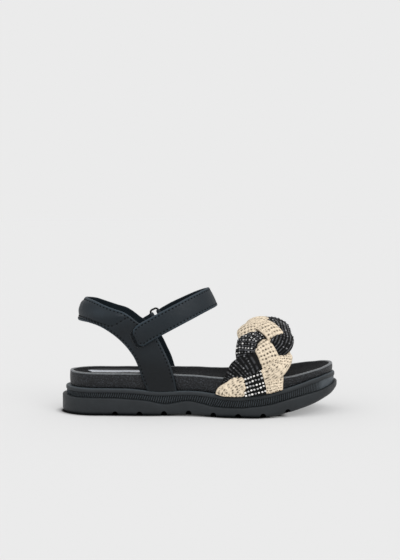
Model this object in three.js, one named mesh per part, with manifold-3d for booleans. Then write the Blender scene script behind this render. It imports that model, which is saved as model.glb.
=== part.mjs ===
// Braided sandal for a child's right foot, in millimetres. The toe points along +X, the outer side of the
// foot lies along -Y and the floor is Z = 0. The origin is on the floor, under the middle of the outsole.
import * as THREE from "three";
import { mergeVertices } from "three/addons/utils/BufferGeometryUtils.js";
import Module from "manifold-3d";

// Sole
const LENGTH = 216; // outsole, heel to toe
const BALL_WIDTH = 86; // outsole, at its widest
const HEEL_ROUND = 0.135; // share of the length taken by the round heel
const TOE_ROUND = 0.24; // share of the length taken by the round toe
const TOE_SPRING = 17.2; // lift of the sole's underside at the tip of the toe
const ARCH_LIFT = 1.5; // lift of the underside at the arch
const OUTSOLE_HEIGHT = 13.3; // underside to ledge, at the heel
const RAND_HEIGHT = 7.2; // ledge to the rand's top, at the heel
const FOOTBED_HEIGHT = 12; // the rand's top to the rim, at the heel
const LEDGE_STEP = 2.6; // how far the rand stands inside the ledge
const RAND_STEP = 3.1; // how far the footbed stands inside the rand
const LOWER_EDGE = 3.4; // radius of the outsole's lower edge
const UPPER_EDGE = 1.2; // radius of the outsole's upper edge
const BAND_HEIGHT = 3.4; // smooth band at the rand's top
const BAND_EDGE = 1.5; // radius of the band's upper edge
const STRIP_INSET = 0.6; // how far the ribbed strip stands inside the band
const RIB_PITCH = 1.6;
const RIB_DEPTH = 0.75;
const GROOVE_PITCH = 18.8;
const GROOVE_WIDTH = 4.6;
const GROOVE_HEIGHT = 3.3;
const GROOVE_COUNT = 8;
const FIRST_GROOVE = 42.9; // from the back of the heel
const RIM_EDGE = 0.9; // radius of the footbed's rim
const RIM_WIDTH = 2.2;
const RIM_DRAFT = 0.27; // how far the rim's inner wall slopes in
const RECESS = 1.5; // depth of the insole's bed below the rim
const CUP_DEPTH = 2.4; // further depth of the bed at its middle
const CUP_SLOPE = 8; // width of each of the two slopes of the cup
const CUP_SHARE = 0.7; // share of the cup's depth that its outer slope takes
const INSOLE_THICKNESS = 1;
const CLEARANCE = 0.3; // between pieces that meet

// Upper
const UPPER_HEIGHT = 71; // the rand's top at the quarters to the top of the heel strap
const SEAT_SHARE = 0.36; // where the quarters stand, as a share of the sole's length
const HEEL_TURN = 0.235; // where the heel strap begins to turn inwards, as such a share
const HEEL_BACK_LOW = 0.0625; // the back of the heel at the heel strap's lower edge, as such a share
const HEEL_BACK_HIGH = 0.1; // the same at its upper edge
const HEEL_POWER = 0.56; // bluntness of the heel from above, 0.5 for an ellipse
const TAB_SHARE = 0.272; // the free end of the instep strap, as such a share
const INSTEP_TURN = 0.37; // where the instep strap begins to turn inwards, as such a share
const INSTEP_FRONT = 0.544; // the front of the instep strap at its middle line, as such a share
const ANKLE_SHARE = 0.55; // share of the upper's height at which its walls have drawn in to the ankle
const WALL_RISE = 1; // height above the rim at which walls begin to leave the footbed
const ANKLE_HALF = 26; // half the width between the quarters' walls, at mid height
const ANKLE_TAPER = 4.6; // how much that half width narrows over the upper's height
const QUARTER_THICKNESS = 2.4;
const STRAP_WIDTH = 16.2;
const STRAP_THICKNESS = 2.2;
const STRAP_TILT = 26; // degrees that the strap's width leans back from upright
const PATCH_THICKNESS = 1;
const WIRE = 1.6; // diameter of the ring's wire
const RING_LENGTH = 20.8;
const RING_WIDTH = 8.2;
const RING_CORNER = 2.2;
const EYE_WALL = 1.1; // wall of the eye that a strap or loop forms round the wire
const RING_SHARE = 0.345; // the middle of the ring, as a share of the sole's length
const RING_SETTLE = 22; // length over which the strap comes off the ring down to the ankle
const EYE_LENGTH = 15.4; // width of the bands where they go round the ring
const LOOP_LENGTH = 14;
const LOOP_SETTLE = 6; // length over which the loop comes off the ring down to the quarter
const TAB_CORNER = 4.6; // radius of the bands' round ends
const PATCH_LENGTH = 22;
const PATCH_WIDTH = 15.4;
const PATCH_SHOWS = 2.6; // how far the patch reaches out behind the tab
const PATCH_DROP = 0.4; // how far it hangs below the tab
const FOLD_POWER = 1.3; // sharpness of the strap's fold at the front, 1 for a half ellipse

// Braid
const BRAID_HEIGHT = 52; // the rand's top to the middle of the wall at the crown
const BRAID_CROWN = 9; // how much the braid's edges drop beside its middle, at the crown
const RIBBON_WIDTH = 19.2;
const RIBBON_THICKNESS = 5.4;
const RIBBON_POWER = 5; // squareness of a ribbon's section, 2 for an ellipse
const WEAVE_HEIGHT = 2.5; // lift of a ribbon where it passes over
const WEAVE_HOLD = 1.6; // how long a ribbon stays up, 1 for a plain wave
const BRAID_SWING = 11.8; // how far a ribbon's middle swings to each side
const BRAID_PERIOD = 104; // length of one full swing
const BRAID_PHASE = 10; // where the first ribbon crosses the middle, from the outer end
const BRAID_BACKING = 2.6; // from the middle of the braid's wall to its back, beside the footbed
const BRAID_FREE = 8; // height over which its back swells above the rim
const BRAID_EDGE = 0.8; // half the wall's thickness at its very edges
const ARCH_POWER = 2.3; // squareness of the braid's arch, 2 for an ellipse

// How finely the solids are divided
const SIDE_STEPS = 32;
const FINE_STEPS = 600; // steps over which lengths along curves are measured
const GROOVE_STEPS = 6;
const BRAID_STEPS = 56;
const BRAID_ACROSS = 16;
const BAND_STEPS = 3;
const ARC_STEPS = 9;
const CORNER_STEPS = 4;
const WIRE_SIDES = 8;
const EYE_SIDES = 12;
const WELD = 1e-4; // points closer than this are one
const TAB_ROWS = [0, 0.02, 0.06, 0.13, 0.22, 0.35, 0.6, 0.85]; // shares of the strap's straight end
const PATCH_ROWS = [0, 0.02, 0.06, 0.12, 0.21, 0.45, 0.75, 1]; // shares of the patch's length
const LOOP_ROWS = [1, 0.98, 0.93, 0.84, 0.67, 0.45, 0.3, 0.15, 0]; // shares of the loop's length

// The sole along its length, at shares of it from the heel. bottom is a share of the toe spring, arch of
// the arch lift, and outsole, rand and footbed are shares of each layer's own height.
const LAYERS = [
  { at: 0.0, bottom: 0, arch: 0, outsole: 1.08, rand: 0.95, footbed: 1.03 },
  { at: 0.05, bottom: 0, arch: 0, outsole: 0.99, rand: 1.0, footbed: 0.98 },
  { at: 0.11, bottom: 0, arch: 0, outsole: 1.0, rand: 0.97, footbed: 0.97 },
  { at: 0.19, bottom: 0, arch: 0, outsole: 0.99, rand: 0.98, footbed: 0.96 },
  { at: 0.25, bottom: 0, arch: 0, outsole: 0.94, rand: 1.04, footbed: 0.98 },
  { at: 0.31, bottom: 0, arch: 0.07, outsole: 0.86, rand: 1.02, footbed: 1.07 },
  { at: 0.38, bottom: 0, arch: 0.53, outsole: 0.63, rand: 1.3, footbed: 1.09 },
  { at: 0.42, bottom: 0, arch: 0.87, outsole: 0.71, rand: 1.14, footbed: 1.05 },
  { at: 0.457, bottom: 0, arch: 1, outsole: 0.79, rand: 1.0, footbed: 1.01 },
  { at: 0.5, bottom: 0, arch: 0.8, outsole: 0.69, rand: 1.18, footbed: 1.01 },
  { at: 0.55, bottom: 0, arch: 0.27, outsole: 0.58, rand: 1.33, footbed: 1.04 },
  { at: 0.59, bottom: 0, arch: 0, outsole: 0.57, rand: 1.18, footbed: 1.14 },
  { at: 0.64, bottom: 0, arch: 0, outsole: 0.56, rand: 1.18, footbed: 1.14 },
  { at: 0.69, bottom: 0, arch: 0, outsole: 0.65, rand: 1.17, footbed: 1.05 },
  { at: 0.74, bottom: 0.05, arch: 0, outsole: 0.69, rand: 1.19, footbed: 0.94 },
  { at: 0.78, bottom: 0.13, arch: 0, outsole: 0.75, rand: 1.19, footbed: 0.79 },
  { at: 0.82, bottom: 0.24, arch: 0, outsole: 0.78, rand: 1.18, footbed: 0.68 },
  { at: 0.86, bottom: 0.37, arch: 0, outsole: 0.75, rand: 1.26, footbed: 0.61 },
  { at: 0.9, bottom: 0.51, arch: 0, outsole: 0.69, rand: 1.38, footbed: 0.54 },
  { at: 0.94, bottom: 0.69, arch: 0, outsole: 0.59, rand: 1.4, footbed: 0.51 },
  { at: 0.97, bottom: 0.83, arch: 0, outsole: 0.56, rand: 1.24, footbed: 0.55 },
  { at: 1.0, bottom: 1, arch: 0, outsole: 0.51, rand: 0.95, footbed: 0.62 },
];

// The outsole's outline from above. middle and half are shares of half the ball width: the middle of the
// sole, towards the inner side, and its half width. ledge and shelf are shares of the two steps.
const PLAN = [
  { at: 0.0, middle: 0, half: 0.67, ledge: 1.05, shelf: 1.08 },
  { at: 0.14, middle: 0, half: 0.67, ledge: 1.0, shelf: 1.05 },
  { at: 0.25, middle: -0.01, half: 0.69, ledge: 1.0, shelf: 1.0 },
  { at: 0.35, middle: -0.03, half: 0.71, ledge: 1.0, shelf: 1.0 },
  { at: 0.45, middle: -0.045, half: 0.76, ledge: 0.95, shelf: 1.0 },
  { at: 0.55, middle: -0.045, half: 0.85, ledge: 0.9, shelf: 1.0 },
  { at: 0.65, middle: -0.025, half: 0.95, ledge: 0.85, shelf: 1.0 },
  { at: 0.72, middle: -0.005, half: 0.99, ledge: 0.85, shelf: 0.97 },
  { at: 0.78, middle: 0.01, half: 0.99, ledge: 0.8, shelf: 0.9 },
  { at: 0.85, middle: 0.035, half: 0.98, ledge: 0.75, shelf: 0.8 },
  { at: 0.92, middle: 0.07, half: 0.97, ledge: 0.7, shelf: 0.65 },
  { at: 1.0, middle: 0.12, half: 0.97, ledge: 0.7, shelf: 0.6 },
];

// One quarter and its half of the heel strap, from the seat on the rand to the back of the heel. Each row
// is a line across the band: its front or top end and its rear or lower end, as a share of the sole's
// length and a share of the upper's height above the seat.
const QUARTER = [
  { front: 0.419, frontRise: 0, rear: 0.314, rearRise: 0 },
  { front: 0.412, frontRise: 0.115, rear: 0.303, rearRise: 0.07 },
  { front: 0.404, frontRise: 0.204, rear: 0.292, rearRise: 0.155 },
  { front: 0.393, frontRise: 0.307, rear: 0.281, rearRise: 0.26 },
  { front: 0.378, frontRise: 0.406, rear: 0.268, rearRise: 0.352 },
  { front: 0.36, frontRise: 0.518, rear: 0.252, rearRise: 0.428 },
  { front: 0.337, frontRise: 0.624, rear: 0.235, rearRise: 0.492 },
  { front: 0.308, frontRise: 0.694, rear: 0.216, rearRise: 0.55 },
  { front: 0.28, frontRise: 0.744, rear: 0.196, rearRise: 0.6 },
  { front: 0.254, frontRise: 0.806, rear: 0.173, rearRise: 0.647 },
  { front: 0.227, frontRise: 0.856, rear: 0.149, rearRise: 0.687 },
  { front: 0.192, frontRise: 0.89, rear: 0.125, rearRise: 0.714 },
  { front: 0.155, frontRise: 0.932, rear: 0.1, rearRise: 0.732 },
  { front: 0.122, frontRise: 0.972, rear: 0.079, rearRise: 0.738 },
  { front: 0.098, frontRise: 0.99, rear: 0.065, rearRise: 0.741 },
  { front: 0.088, frontRise: 0.996, rear: 0.06, rearRise: 0.742 },
];

// The middle line of the instep strap: its height above the quarters' seat as a share of the upper's
// height, at shares of the sole's length.
const STRAP_LINE = [
  { at: 0.24, rise: 0.535 },
  { at: 0.315, rise: 0.655 },
  { at: 0.384, rise: 0.769 },
  { at: 0.454, rise: 0.877 },
  { at: 0.509, rise: 0.956 },
  { at: 0.537, rise: 0.99 },
  { at: 0.551, rise: 1.003 },
];

// The braid along its arch, at shares of the arch from the outer end. place is the middle of the braid as
// a share of the sole's length, swing a share of the braid's swing and relief a share of its weave.
const BRAID = [
  { at: 0.0, place: 0.672, swing: 1.36, relief: 0.42 },
  { at: 0.09, place: 0.687, swing: 1.12, relief: 0.6 },
  { at: 0.14, place: 0.7045, swing: 1.24, relief: 0.8 },
  { at: 0.18, place: 0.7155, swing: 1.13, relief: 0.9 },
  { at: 0.23, place: 0.726, swing: 1.0, relief: 1.0 },
  { at: 0.35, place: 0.736, swing: 0.96, relief: 1.0 },
  { at: 0.65, place: 0.736, swing: 0.96, relief: 1.0 },
  { at: 0.78, place: 0.724, swing: 1.0, relief: 1.0 },
  { at: 0.86, place: 0.714, swing: 1.08, relief: 0.8 },
  { at: 0.93, place: 0.706, swing: 1.12, relief: 0.6 },
  { at: 1.0, place: 0.7, swing: 1.18, relief: 0.42 },
];

const OUTER = -1; // the side of the foot that lies along -Y
const INNER = 1;
// How far the middle of a round edge lies in from either face, as a share of its radius.
const CORNER = 1 - Math.SQRT1_2;

const wasm = await Module();
wasm.setup();

// A smooth value between the rows of a table.
function along(table, column, at) {
  const last = table.length - 1;
  if (at <= table[0].at) return table[0][column];
  if (at >= table[last].at) return table[last][column];
  const i = table.findIndex((row) => row.at > at) - 1;
  const slope = (a, b) => (table[b][column] - table[a][column]) / (table[b].at - table[a].at);
  const bend = (k) => {
    if (k === 0 || k === last) return 0;
    const before = slope(k - 1, k);
    const after = slope(k, k + 1);
    return before * after <= 0 ? 0 : (2 * before * after) / (before + after);
  };
  const span = table[i + 1].at - table[i].at;
  const t = (at - table[i].at) / span;
  const rise = table[i + 1][column] - table[i][column];
  const start = bend(i) * span;
  const end = bend(i + 1) * span;
  const square = 3 * rise - 2 * start - end;
  const cube = start + end - 2 * rise;
  return table[i][column] + t * start + t ** 2 * square + t ** 3 * cube;
}

const clamp = (value, low, high) => Math.min(Math.max(value, low), high);
const mix = (a, b, t) => a + (b - a) * t;
const smooth = (low, high, value) => {
  const t = clamp((value - low) / (high - low), 0, 1);
  return t * t * (3 - 2 * t);
};
const shareOf = (x) => x / LENGTH + 0.5;
const placeOf = (share) => (share - 0.5) * LENGTH;

// Heights of the sole's surfaces at a place along it.
const bottomHeight = (x) =>
  TOE_SPRING * along(LAYERS, "bottom", shareOf(x)) + ARCH_LIFT * along(LAYERS, "arch", shareOf(x));
const ledgeHeight = (x) => bottomHeight(x) + OUTSOLE_HEIGHT * along(LAYERS, "outsole", shareOf(x));
const randHeight = (x) => ledgeHeight(x) + RAND_HEIGHT * along(LAYERS, "rand", shareOf(x));
const rimHeight = (x) => randHeight(x) + FOOTBED_HEIGHT * along(LAYERS, "footbed", shareOf(x));

// A point of the outsole's outline. turn runs from 0 at the heel to 1 at the toe on either side.
function outlinePoint(side, turn) {
  const share = 0.5 - 0.5 * Math.cos(Math.PI * turn);
  const heel = clamp(1 - share / HEEL_ROUND, 0, 1);
  const toe = clamp(1 - (1 - share) / TOE_ROUND, 0, 1);
  const round = Math.sqrt(Math.max(0, (1 - heel * heel) * (1 - toe * toe)));
  const half = (BALL_WIDTH / 2) * along(PLAN, "half", share) * round;
  const middle = (BALL_WIDTH / 2) * along(PLAN, "middle", share);
  return new THREE.Vector2(placeOf(share), middle + side * half);
}

// The outline of one side as points at even distances along it, each with its outward direction.
function sideOutline(side) {
  const fine = FINE_STEPS;
  const points = Array.from({ length: fine + 1 }, (_, i) => outlinePoint(side, i / fine));
  const run = [0];
  for (let i = 1; i <= fine; i++) run.push(run[i - 1] + points[i].distanceTo(points[i - 1]));
  const even = [];
  for (let k = 0, i = 0; k <= SIDE_STEPS; k++) {
    const goal = (run[fine] * k) / SIDE_STEPS;
    while (i < fine - 1 && run[i + 1] < goal) i++;
    const point = points[i].clone().lerp(points[i + 1], (goal - run[i]) / (run[i + 1] - run[i]));
    const before = k === 0 ? outlinePoint(-side, 1 / fine) : points[Math.max(i - 1, 0)];
    const after = k === SIDE_STEPS ? outlinePoint(-side, 1 - 1 / fine) : points[Math.min(i + 2, fine)];
    const tangent = after.clone().sub(before).normalize();
    even.push({ point, out: new THREE.Vector2(-side * tangent.y, side * tangent.x) });
  }
  return even;
}

const OUTER_SIDE = sideOutline(OUTER);
const INNER_SIDE = sideOutline(INNER);
// From the heel along the outer side to the toe and back along the inner side.
const OUTLINE = [...OUTER_SIDE, ...INNER_SIDE.slice(1, SIDE_STEPS).reverse()];
const widest = (side) => Math.max(...OUTLINE.map(({ point }) => side * point.y));
const MIDDLE_SHIFT = (widest(OUTER) - widest(INNER)) / 2;
for (const { point } of OUTLINE) point.y += MIDDLE_SHIFT;
const STEP_LENGTH = OUTER_SIDE[0].point.distanceTo(OUTER_SIDE[1].point);

// The two steps in from the ledge at a place along the sole.
const bandInset = (x) => LEDGE_STEP * along(PLAN, "ledge", shareOf(x));
const wallInset = (x) => bandInset(x) + RAND_STEP * along(PLAN, "shelf", shareOf(x));

// A ring round the sole: the outline moved in by inset(x), at height(x).
function ring(inset, height) {
  return OUTLINE.map(({ point, out }) => {
    const flat = point.clone().addScaledVector(out, -inset(point.x));
    return new THREE.Vector3(flat.x, flat.y, height(flat.x));
  });
}

// The footbed's side wall: how far it stands out from the middle, on one side, at a place along the sole.
const wallEdge = (side) =>
  ring(wallInset, () => 0)
    .filter((p) => side * p.y > 0)
    .sort((a, b) => a.x - b.x);
const WALL_EDGES = { [OUTER]: wallEdge(OUTER), [INNER]: wallEdge(INNER) };

function wallReach(side, x) {
  const edge = WALL_EDGES[side];
  const i = clamp(edge.findIndex((p) => p.x > x), 1, edge.length - 1);
  const t = clamp((x - edge[i - 1].x) / (edge[i].x - edge[i - 1].x), 0, 1);
  return side * mix(edge[i - 1].y, edge[i].y, t);
}

// Closed surfaces are gathered as triangles of points.
function meshOf(triangles) {
  const geometry = new THREE.BufferGeometry().setFromPoints(triangles.flat());
  return mergeVertices(geometry, WELD);
}

// Triangles between two closed rings, facing out where the first is the lower one. Rings of different
// counts are matched by the share of the way round.
function between(lower, upper) {
  const triangles = [];
  let i = 0;
  let j = 0;
  while (i < lower.length || j < upper.length) {
    const a = lower[i % lower.length];
    const b = upper[j % upper.length];
    const lowerNext = (i + 1) / lower.length;
    const upperNext = (j + 1) / upper.length;
    if (j >= upper.length || (i < lower.length && lowerNext <= upperNext)) {
      triangles.push([a, lower[(i + 1) % lower.length], b]);
      i++;
    } else {
      triangles.push([a, upper[(j + 1) % upper.length], b]);
      j++;
    }
  }
  return triangles;
}

// A lid on a ring that has the same number of points on both sides, facing up.
function lid(points) {
  const half = points.length / 2;
  const across = (i) => points[(points.length - i) % points.length];
  const triangles = [[points[0], points[1], across(1)]];
  for (let i = 1; i < half - 1; i++) {
    triangles.push([points[i], points[i + 1], across(i + 1)], [points[i], across(i + 1), across(i)]);
  }
  triangles.push([points[half - 1], points[half], across(half - 1)]);
  return triangles;
}

const flipped = (triangles) => triangles.map(([a, b, c]) => [a, c, b]);

// A solid through rings, from the middle of its underside round its side to the middle of its top.
function layered(rings) {
  const walls = rings.slice(1).flatMap((upper, i) => between(rings[i], upper));
  return meshOf([...flipped(lid(rings[0])), ...walls, ...lid(rings[rings.length - 1])]);
}

function solidOf(geometry) {
  const plain = geometry.clone();
  plain.deleteAttribute("normal");
  plain.deleteAttribute("uv");
  const merged = mergeVertices(plain, WELD);
  const vertProperties = new Float32Array(merged.attributes.position.array);
  const triVerts = new Uint32Array(merged.index.array);
  return new wasm.Manifold(new wasm.Mesh({ numProp: 3, vertProperties, triVerts }));
}

function geometryOf(solid) {
  const { vertProperties, triVerts } = solid.getMesh();
  const geometry = new THREE.BufferGeometry();
  geometry.setAttribute("position", new THREE.BufferAttribute(vertProperties, 3));
  geometry.setIndex(new THREE.BufferAttribute(triVerts, 1));
  return geometry;
}

// Sole
const inBy = (amount) => () => amount;
const raised = (height, by) => (x) => height(x) + by;

function outsole() {
  let body = solidOf(
    layered([
      ring(inBy(LOWER_EDGE), bottomHeight),
      ring(inBy(LOWER_EDGE * CORNER), raised(bottomHeight, LOWER_EDGE * CORNER)),
      ring(inBy(0), raised(bottomHeight, LOWER_EDGE)),
      ring(inBy(0), raised(ledgeHeight, -UPPER_EDGE)),
      ring(inBy(UPPER_EDGE * CORNER), raised(ledgeHeight, -UPPER_EDGE * CORNER)),
      ring(inBy(UPPER_EDGE), ledgeHeight),
    ]),
  );
  for (let i = 0; i < GROOVE_COUNT; i++) body = body.subtract(groove(FIRST_GROOVE + i * GROOVE_PITCH));
  return geometryOf(body);
}

// A half-round groove right across the underside.
function groove(fromHeel) {
  const x = fromHeel - LENGTH / 2;
  const shape = new THREE.Shape();
  shape.absellipse(0, 0, GROOVE_WIDTH / 2, GROOVE_HEIGHT, 0, 2 * Math.PI);
  const size = { depth: 2 * BALL_WIDTH, bevelEnabled: false, curveSegments: GROOVE_STEPS };
  const bar = new THREE.ExtrudeGeometry(shape, size);
  bar.rotateX(Math.PI / 2);
  bar.translate(x, BALL_WIDTH, bottomHeight(x));
  return solidOf(bar);
}

// Fine points along a ring: ridges on it and valleys between them.
function ribbed(coarse) {
  const ribs = Math.max(1, Math.round(STEP_LENGTH / RIB_PITCH));
  return coarse.flatMap((a, i) => {
    const b = coarse[(i + 1) % coarse.length];
    const inward = new THREE.Vector3(-(b.y - a.y), b.x - a.x, 0).setLength(RIB_DEPTH);
    const points = [];
    for (let k = 0; k < ribs; k++) {
      points.push(a.clone().lerp(b, k / ribs), a.clone().lerp(b, (k + 0.5) / ribs).add(inward));
    }
    return points;
  });
}

function rand() {
  const stripInset = (x) => bandInset(x) + STRIP_INSET;
  const stripTop = raised(randHeight, -BAND_HEIGHT);
  const underside = raised(ledgeHeight, CLEARANCE);
  const deep = (x) => stripInset(x) + 2 * RIB_DEPTH;
  return layered([
    ring(deep, underside),
    ribbed(ring(stripInset, underside)),
    ribbed(ring(stripInset, stripTop)),
    ring(bandInset, raised(stripTop, STRIP_INSET)),
    ring(bandInset, raised(randHeight, -BAND_EDGE)),
    ring((x) => bandInset(x) + BAND_EDGE * CORNER, raised(randHeight, -BAND_EDGE * CORNER)),
    ring((x) => bandInset(x) + BAND_EDGE, randHeight),
  ]);
}

const bedHeight = (depth) => (x) => rimHeight(x) - RECESS - depth;
const innerEdge = (x) => wallInset(x) + RIM_WIDTH;

function footbed() {
  return layered([
    ring((x) => wallInset(x) + RIM_EDGE, raised(randHeight, CLEARANCE)),
    ring(wallInset, raised(randHeight, CLEARANCE + RIM_EDGE)),
    ring(wallInset, raised(rimHeight, -RIM_EDGE)),
    ring((x) => wallInset(x) + RIM_EDGE * CORNER, raised(rimHeight, -RIM_EDGE * CORNER)),
    ring((x) => wallInset(x) + RIM_EDGE, rimHeight),
    ring(innerEdge, rimHeight),
    ring((x) => innerEdge(x) + RIM_DRAFT, bedHeight(0)),
    ring((x) => innerEdge(x) + CUP_SLOPE, bedHeight(CUP_DEPTH * CUP_SHARE)),
    ring((x) => innerEdge(x) + 2 * CUP_SLOPE, bedHeight(CUP_DEPTH)),
  ]);
}

function insole() {
  const edge = (x) => innerEdge(x) + RIM_DRAFT + CLEARANCE;
  const under = (depth) => raised(bedHeight(depth), CLEARANCE);
  const over = (depth) => raised(bedHeight(depth), CLEARANCE + INSOLE_THICKNESS);
  const slope = (steps) => (x) => innerEdge(x) + steps * CUP_SLOPE;
  return layered([
    ring(slope(2), under(CUP_DEPTH)),
    ring(slope(1), under(CUP_DEPTH * CUP_SHARE)),
    ring(edge, under(0)),
    ring(edge, over(0)),
    ring(slope(1), over(CUP_DEPTH * CUP_SHARE)),
    ring(slope(2), over(CUP_DEPTH)),
  ]);
}

// Upper
const SEAT_HEIGHT = randHeight(placeOf(SEAT_SHARE));
const HEEL_START = placeOf(HEEL_TURN);
const TAB_END = placeOf(TAB_SHARE);
const INSTEP_START = placeOf(INSTEP_TURN);
const INSTEP_TIP = placeOf(INSTEP_FRONT);
const riseOf = (share) => SEAT_HEIGHT + UPPER_HEIGHT * share;

// Half the width of the ankle at a height.
const ankleHalf = (z) => ANKLE_HALF - ANKLE_TAPER * ((z - SEAT_HEIGHT) / UPPER_HEIGHT - 0.5);

// The back of the heel at a height: the middle of the wall.
function heelBack(z) {
  const { rearRise, frontRise } = QUARTER[QUARTER.length - 1];
  const rise = (z - SEAT_HEIGHT) / UPPER_HEIGHT;
  const t = clamp((rise - rearRise) / (frontRise - rearRise), 0, 1);
  return placeOf(mix(HEEL_BACK_LOW, HEEL_BACK_HIGH, t));
}

// The middle of the quarters' wall: at the seat it stands against the footbed's wall, and higher up it
// follows the ankle and closes round the heel.
function quarterPoint(side, x, z) {
  const seat = wallReach(side, x) + CLEARANCE + QUARTER_THICKNESS / 2;
  const turn = clamp((HEEL_START - x) / (HEEL_START - heelBack(z)), 0, 1);
  const ankle = ankleHalf(z) * (1 - turn ** 2) ** HEEL_POWER;
  const drawn = smooth(rimHeight(x) + WALL_RISE, riseOf(ANKLE_SHARE), z);
  return new THREE.Vector3(x, side * mix(seat, ankle, drawn), z);
}

// A wall through a grid of middle points, with open edges: rows of points, given a thickness to each side
// along the direction square to the grid. trim moves a finished point.
function walled(rows, outward, inward, trim = (point) => point) {
  const normals = rows.map((row, i) =>
    row.map((_, j) => {
      const run = rows[Math.min(i + 1, rows.length - 1)][j].clone().sub(rows[Math.max(i - 1, 0)][j]);
      const across = row[Math.min(j + 1, row.length - 1)].clone().sub(row[Math.max(j - 1, 0)]);
      return run.cross(across).normalize();
    }),
  );
  const face = (offset, direction) =>
    rows.map((row, i) =>
      row.map((p, j) => trim(p.clone().addScaledVector(normals[i][j], direction * offset(i, j)), i, j)),
    );
  const front = face(outward, 1);
  const back = face(inward, -1);
  const triangles = [];
  const quad = (a, b, c, d) => triangles.push([a, b, c], [a, c, d]);
  const lastRow = rows.length - 1;
  const lastPoint = rows[0].length - 1;
  for (let i = 0; i < lastRow; i++) {
    for (let j = 0; j < lastPoint; j++) {
      quad(front[i][j], front[i + 1][j], front[i + 1][j + 1], front[i][j + 1]);
      quad(back[i][j], back[i][j + 1], back[i + 1][j + 1], back[i + 1][j]);
    }
    quad(back[i][0], back[i + 1][0], front[i + 1][0], front[i][0]);
    quad(front[i][lastPoint], front[i + 1][lastPoint], back[i + 1][lastPoint], back[i][lastPoint]);
  }
  for (let j = 0; j < lastPoint; j++) {
    quad(front[0][j], front[0][j + 1], back[0][j + 1], back[0][j]);
    quad(back[lastRow][j], back[lastRow][j + 1], front[lastRow][j + 1], front[lastRow][j]);
  }
  return meshOf(triangles);
}

// Outer quarter, heel strap and inner quarter as one wall, from the outer seat to the inner seat.
function ankleQuarters() {
  const halfBand = (side) =>
    QUARTER.map((row) =>
      Array.from({ length: BAND_STEPS + 1 }, (_, j) => {
        const t = j / BAND_STEPS;
        const x = placeOf(mix(row.rear, row.front, t));
        const z = riseOf(mix(row.rearRise, row.frontRise, t));
        return quarterPoint(side, x, z);
      }),
    );
  const outer = halfBand(OUTER);
  const inner = halfBand(INNER).reverse();
  const last = outer.length - 1;
  for (const p of outer[last]) p.y = 0;
  const rows = [...outer, ...inner.slice(1)];
  const half = () => QUARTER_THICKNESS / 2;
  const seat = (point, i) => {
    if (i === 0 || i === rows.length - 1) point.z = randHeight(point.x) + CLEARANCE;
    return point;
  };
  return walled(rows, half, half, seat);
}

// The direction across the instep strap, and along it as it rises to the front, on the upper's side.
const tilt = THREE.MathUtils.degToRad(STRAP_TILT);
const STRAP_ACROSS = new THREE.Vector3(-Math.sin(tilt), 0, Math.cos(tilt));
const STRAP_ALONG = new THREE.Vector3(Math.cos(tilt), 0, Math.sin(tilt));
const strapHeight = (x) => riseOf(along(STRAP_LINE, "rise", shareOf(x)));
const onQuarter = QUARTER_THICKNESS / 2 + CLEARANCE; // from the quarter's middle to what lies on it
const TAB_LIFT = onQuarter + PATCH_THICKNESS + CLEARANCE + STRAP_THICKNESS / 2;

// A line across a band that lies round the ankle, through the point at x, y from the middle and z.
function bandLine(side, x, y, z, halfWidth) {
  const lean = y > 0 ? -(ANKLE_TAPER / UPPER_HEIGHT) * STRAP_ACROSS.z : 0;
  return Array.from({ length: BAND_STEPS + 1 }, (_, j) => {
    const across = ((2 * j) / BAND_STEPS - 1) * halfWidth;
    return new THREE.Vector3(x, side * (y + lean * across), z).addScaledVector(STRAP_ACROSS, across);
  });
}

// The ring and the two eyes that hold it.
const EYE_RADIUS = WIRE / 2 + CLEARANCE + EYE_WALL;
const BAR_REACH = (RING_WIDTH - WIRE) / 2; // from the ring's middle to the middle of either long bar
const RING_X = placeOf(RING_SHARE);
const RING_Z = strapHeight(RING_X);
const RING_Y = ankleHalf(RING_Z) + onQuarter + CLEARANCE + EYE_RADIUS;
const RING_MIDDLE = new THREE.Vector3(RING_X, RING_Y, RING_Z);
const FRONT_BAR = RING_MIDDLE.clone().addScaledVector(STRAP_ALONG, BAR_REACH);
const REAR_BAR = RING_MIDDLE.clone().addScaledVector(STRAP_ALONG, -BAR_REACH);

// Half the width of a band at a distance from its round end.
function roundedHalf(half, distance, corner) {
  const left = Math.max(0, corner - distance);
  return half - corner + Math.sqrt(corner ** 2 - left ** 2);
}

// The strap from its tab on the outer quarter round the instep to the ring's front bar.
function instepStrap() {
  const half = STRAP_WIDTH / 2;
  const rows = TAB_ROWS.map((share) => {
    const x = mix(TAB_END, INSTEP_START, share);
    const z = strapHeight(x);
    const reach = ankleHalf(z) + TAB_LIFT;
    return bandLine(OUTER, x, reach, z, roundedHalf(half, x - TAB_END, TAB_CORNER));
  });
  for (let i = 0; i <= 2 * ARC_STEPS; i++) {
    const side = i <= ARC_STEPS ? OUTER : INNER;
    const angle = (Math.PI / 2) * (1 - Math.abs(i - ARC_STEPS) / ARC_STEPS);
    const x = mix(INSTEP_START, INSTEP_TIP, Math.sin(angle));
    const z = strapHeight(x);
    const free = smooth(FRONT_BAR.x, FRONT_BAR.x + RING_SETTLE, x);
    const onInner = mix(RING_Y, ankleHalf(z) + onQuarter, free);
    const start = side === OUTER ? ankleHalf(z) + TAB_LIFT : onInner;
    rows.push(bandLine(side, x, start * Math.max(0, Math.cos(angle)) ** FOLD_POWER, z, half));
  }
  for (const p of rows[TAB_ROWS.length + ARC_STEPS]) p.y = 0;
  const end = FRONT_BAR.clone().addScaledVector(STRAP_ALONG, WIRE / 2);
  rows.push(bandLine(INNER, end.x, end.y, end.z, EYE_LENGTH / 2));
  const thick = () => STRAP_THICKNESS / 2;
  return eyed(walled(rows, thick, thick), FRONT_BAR);
}

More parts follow.
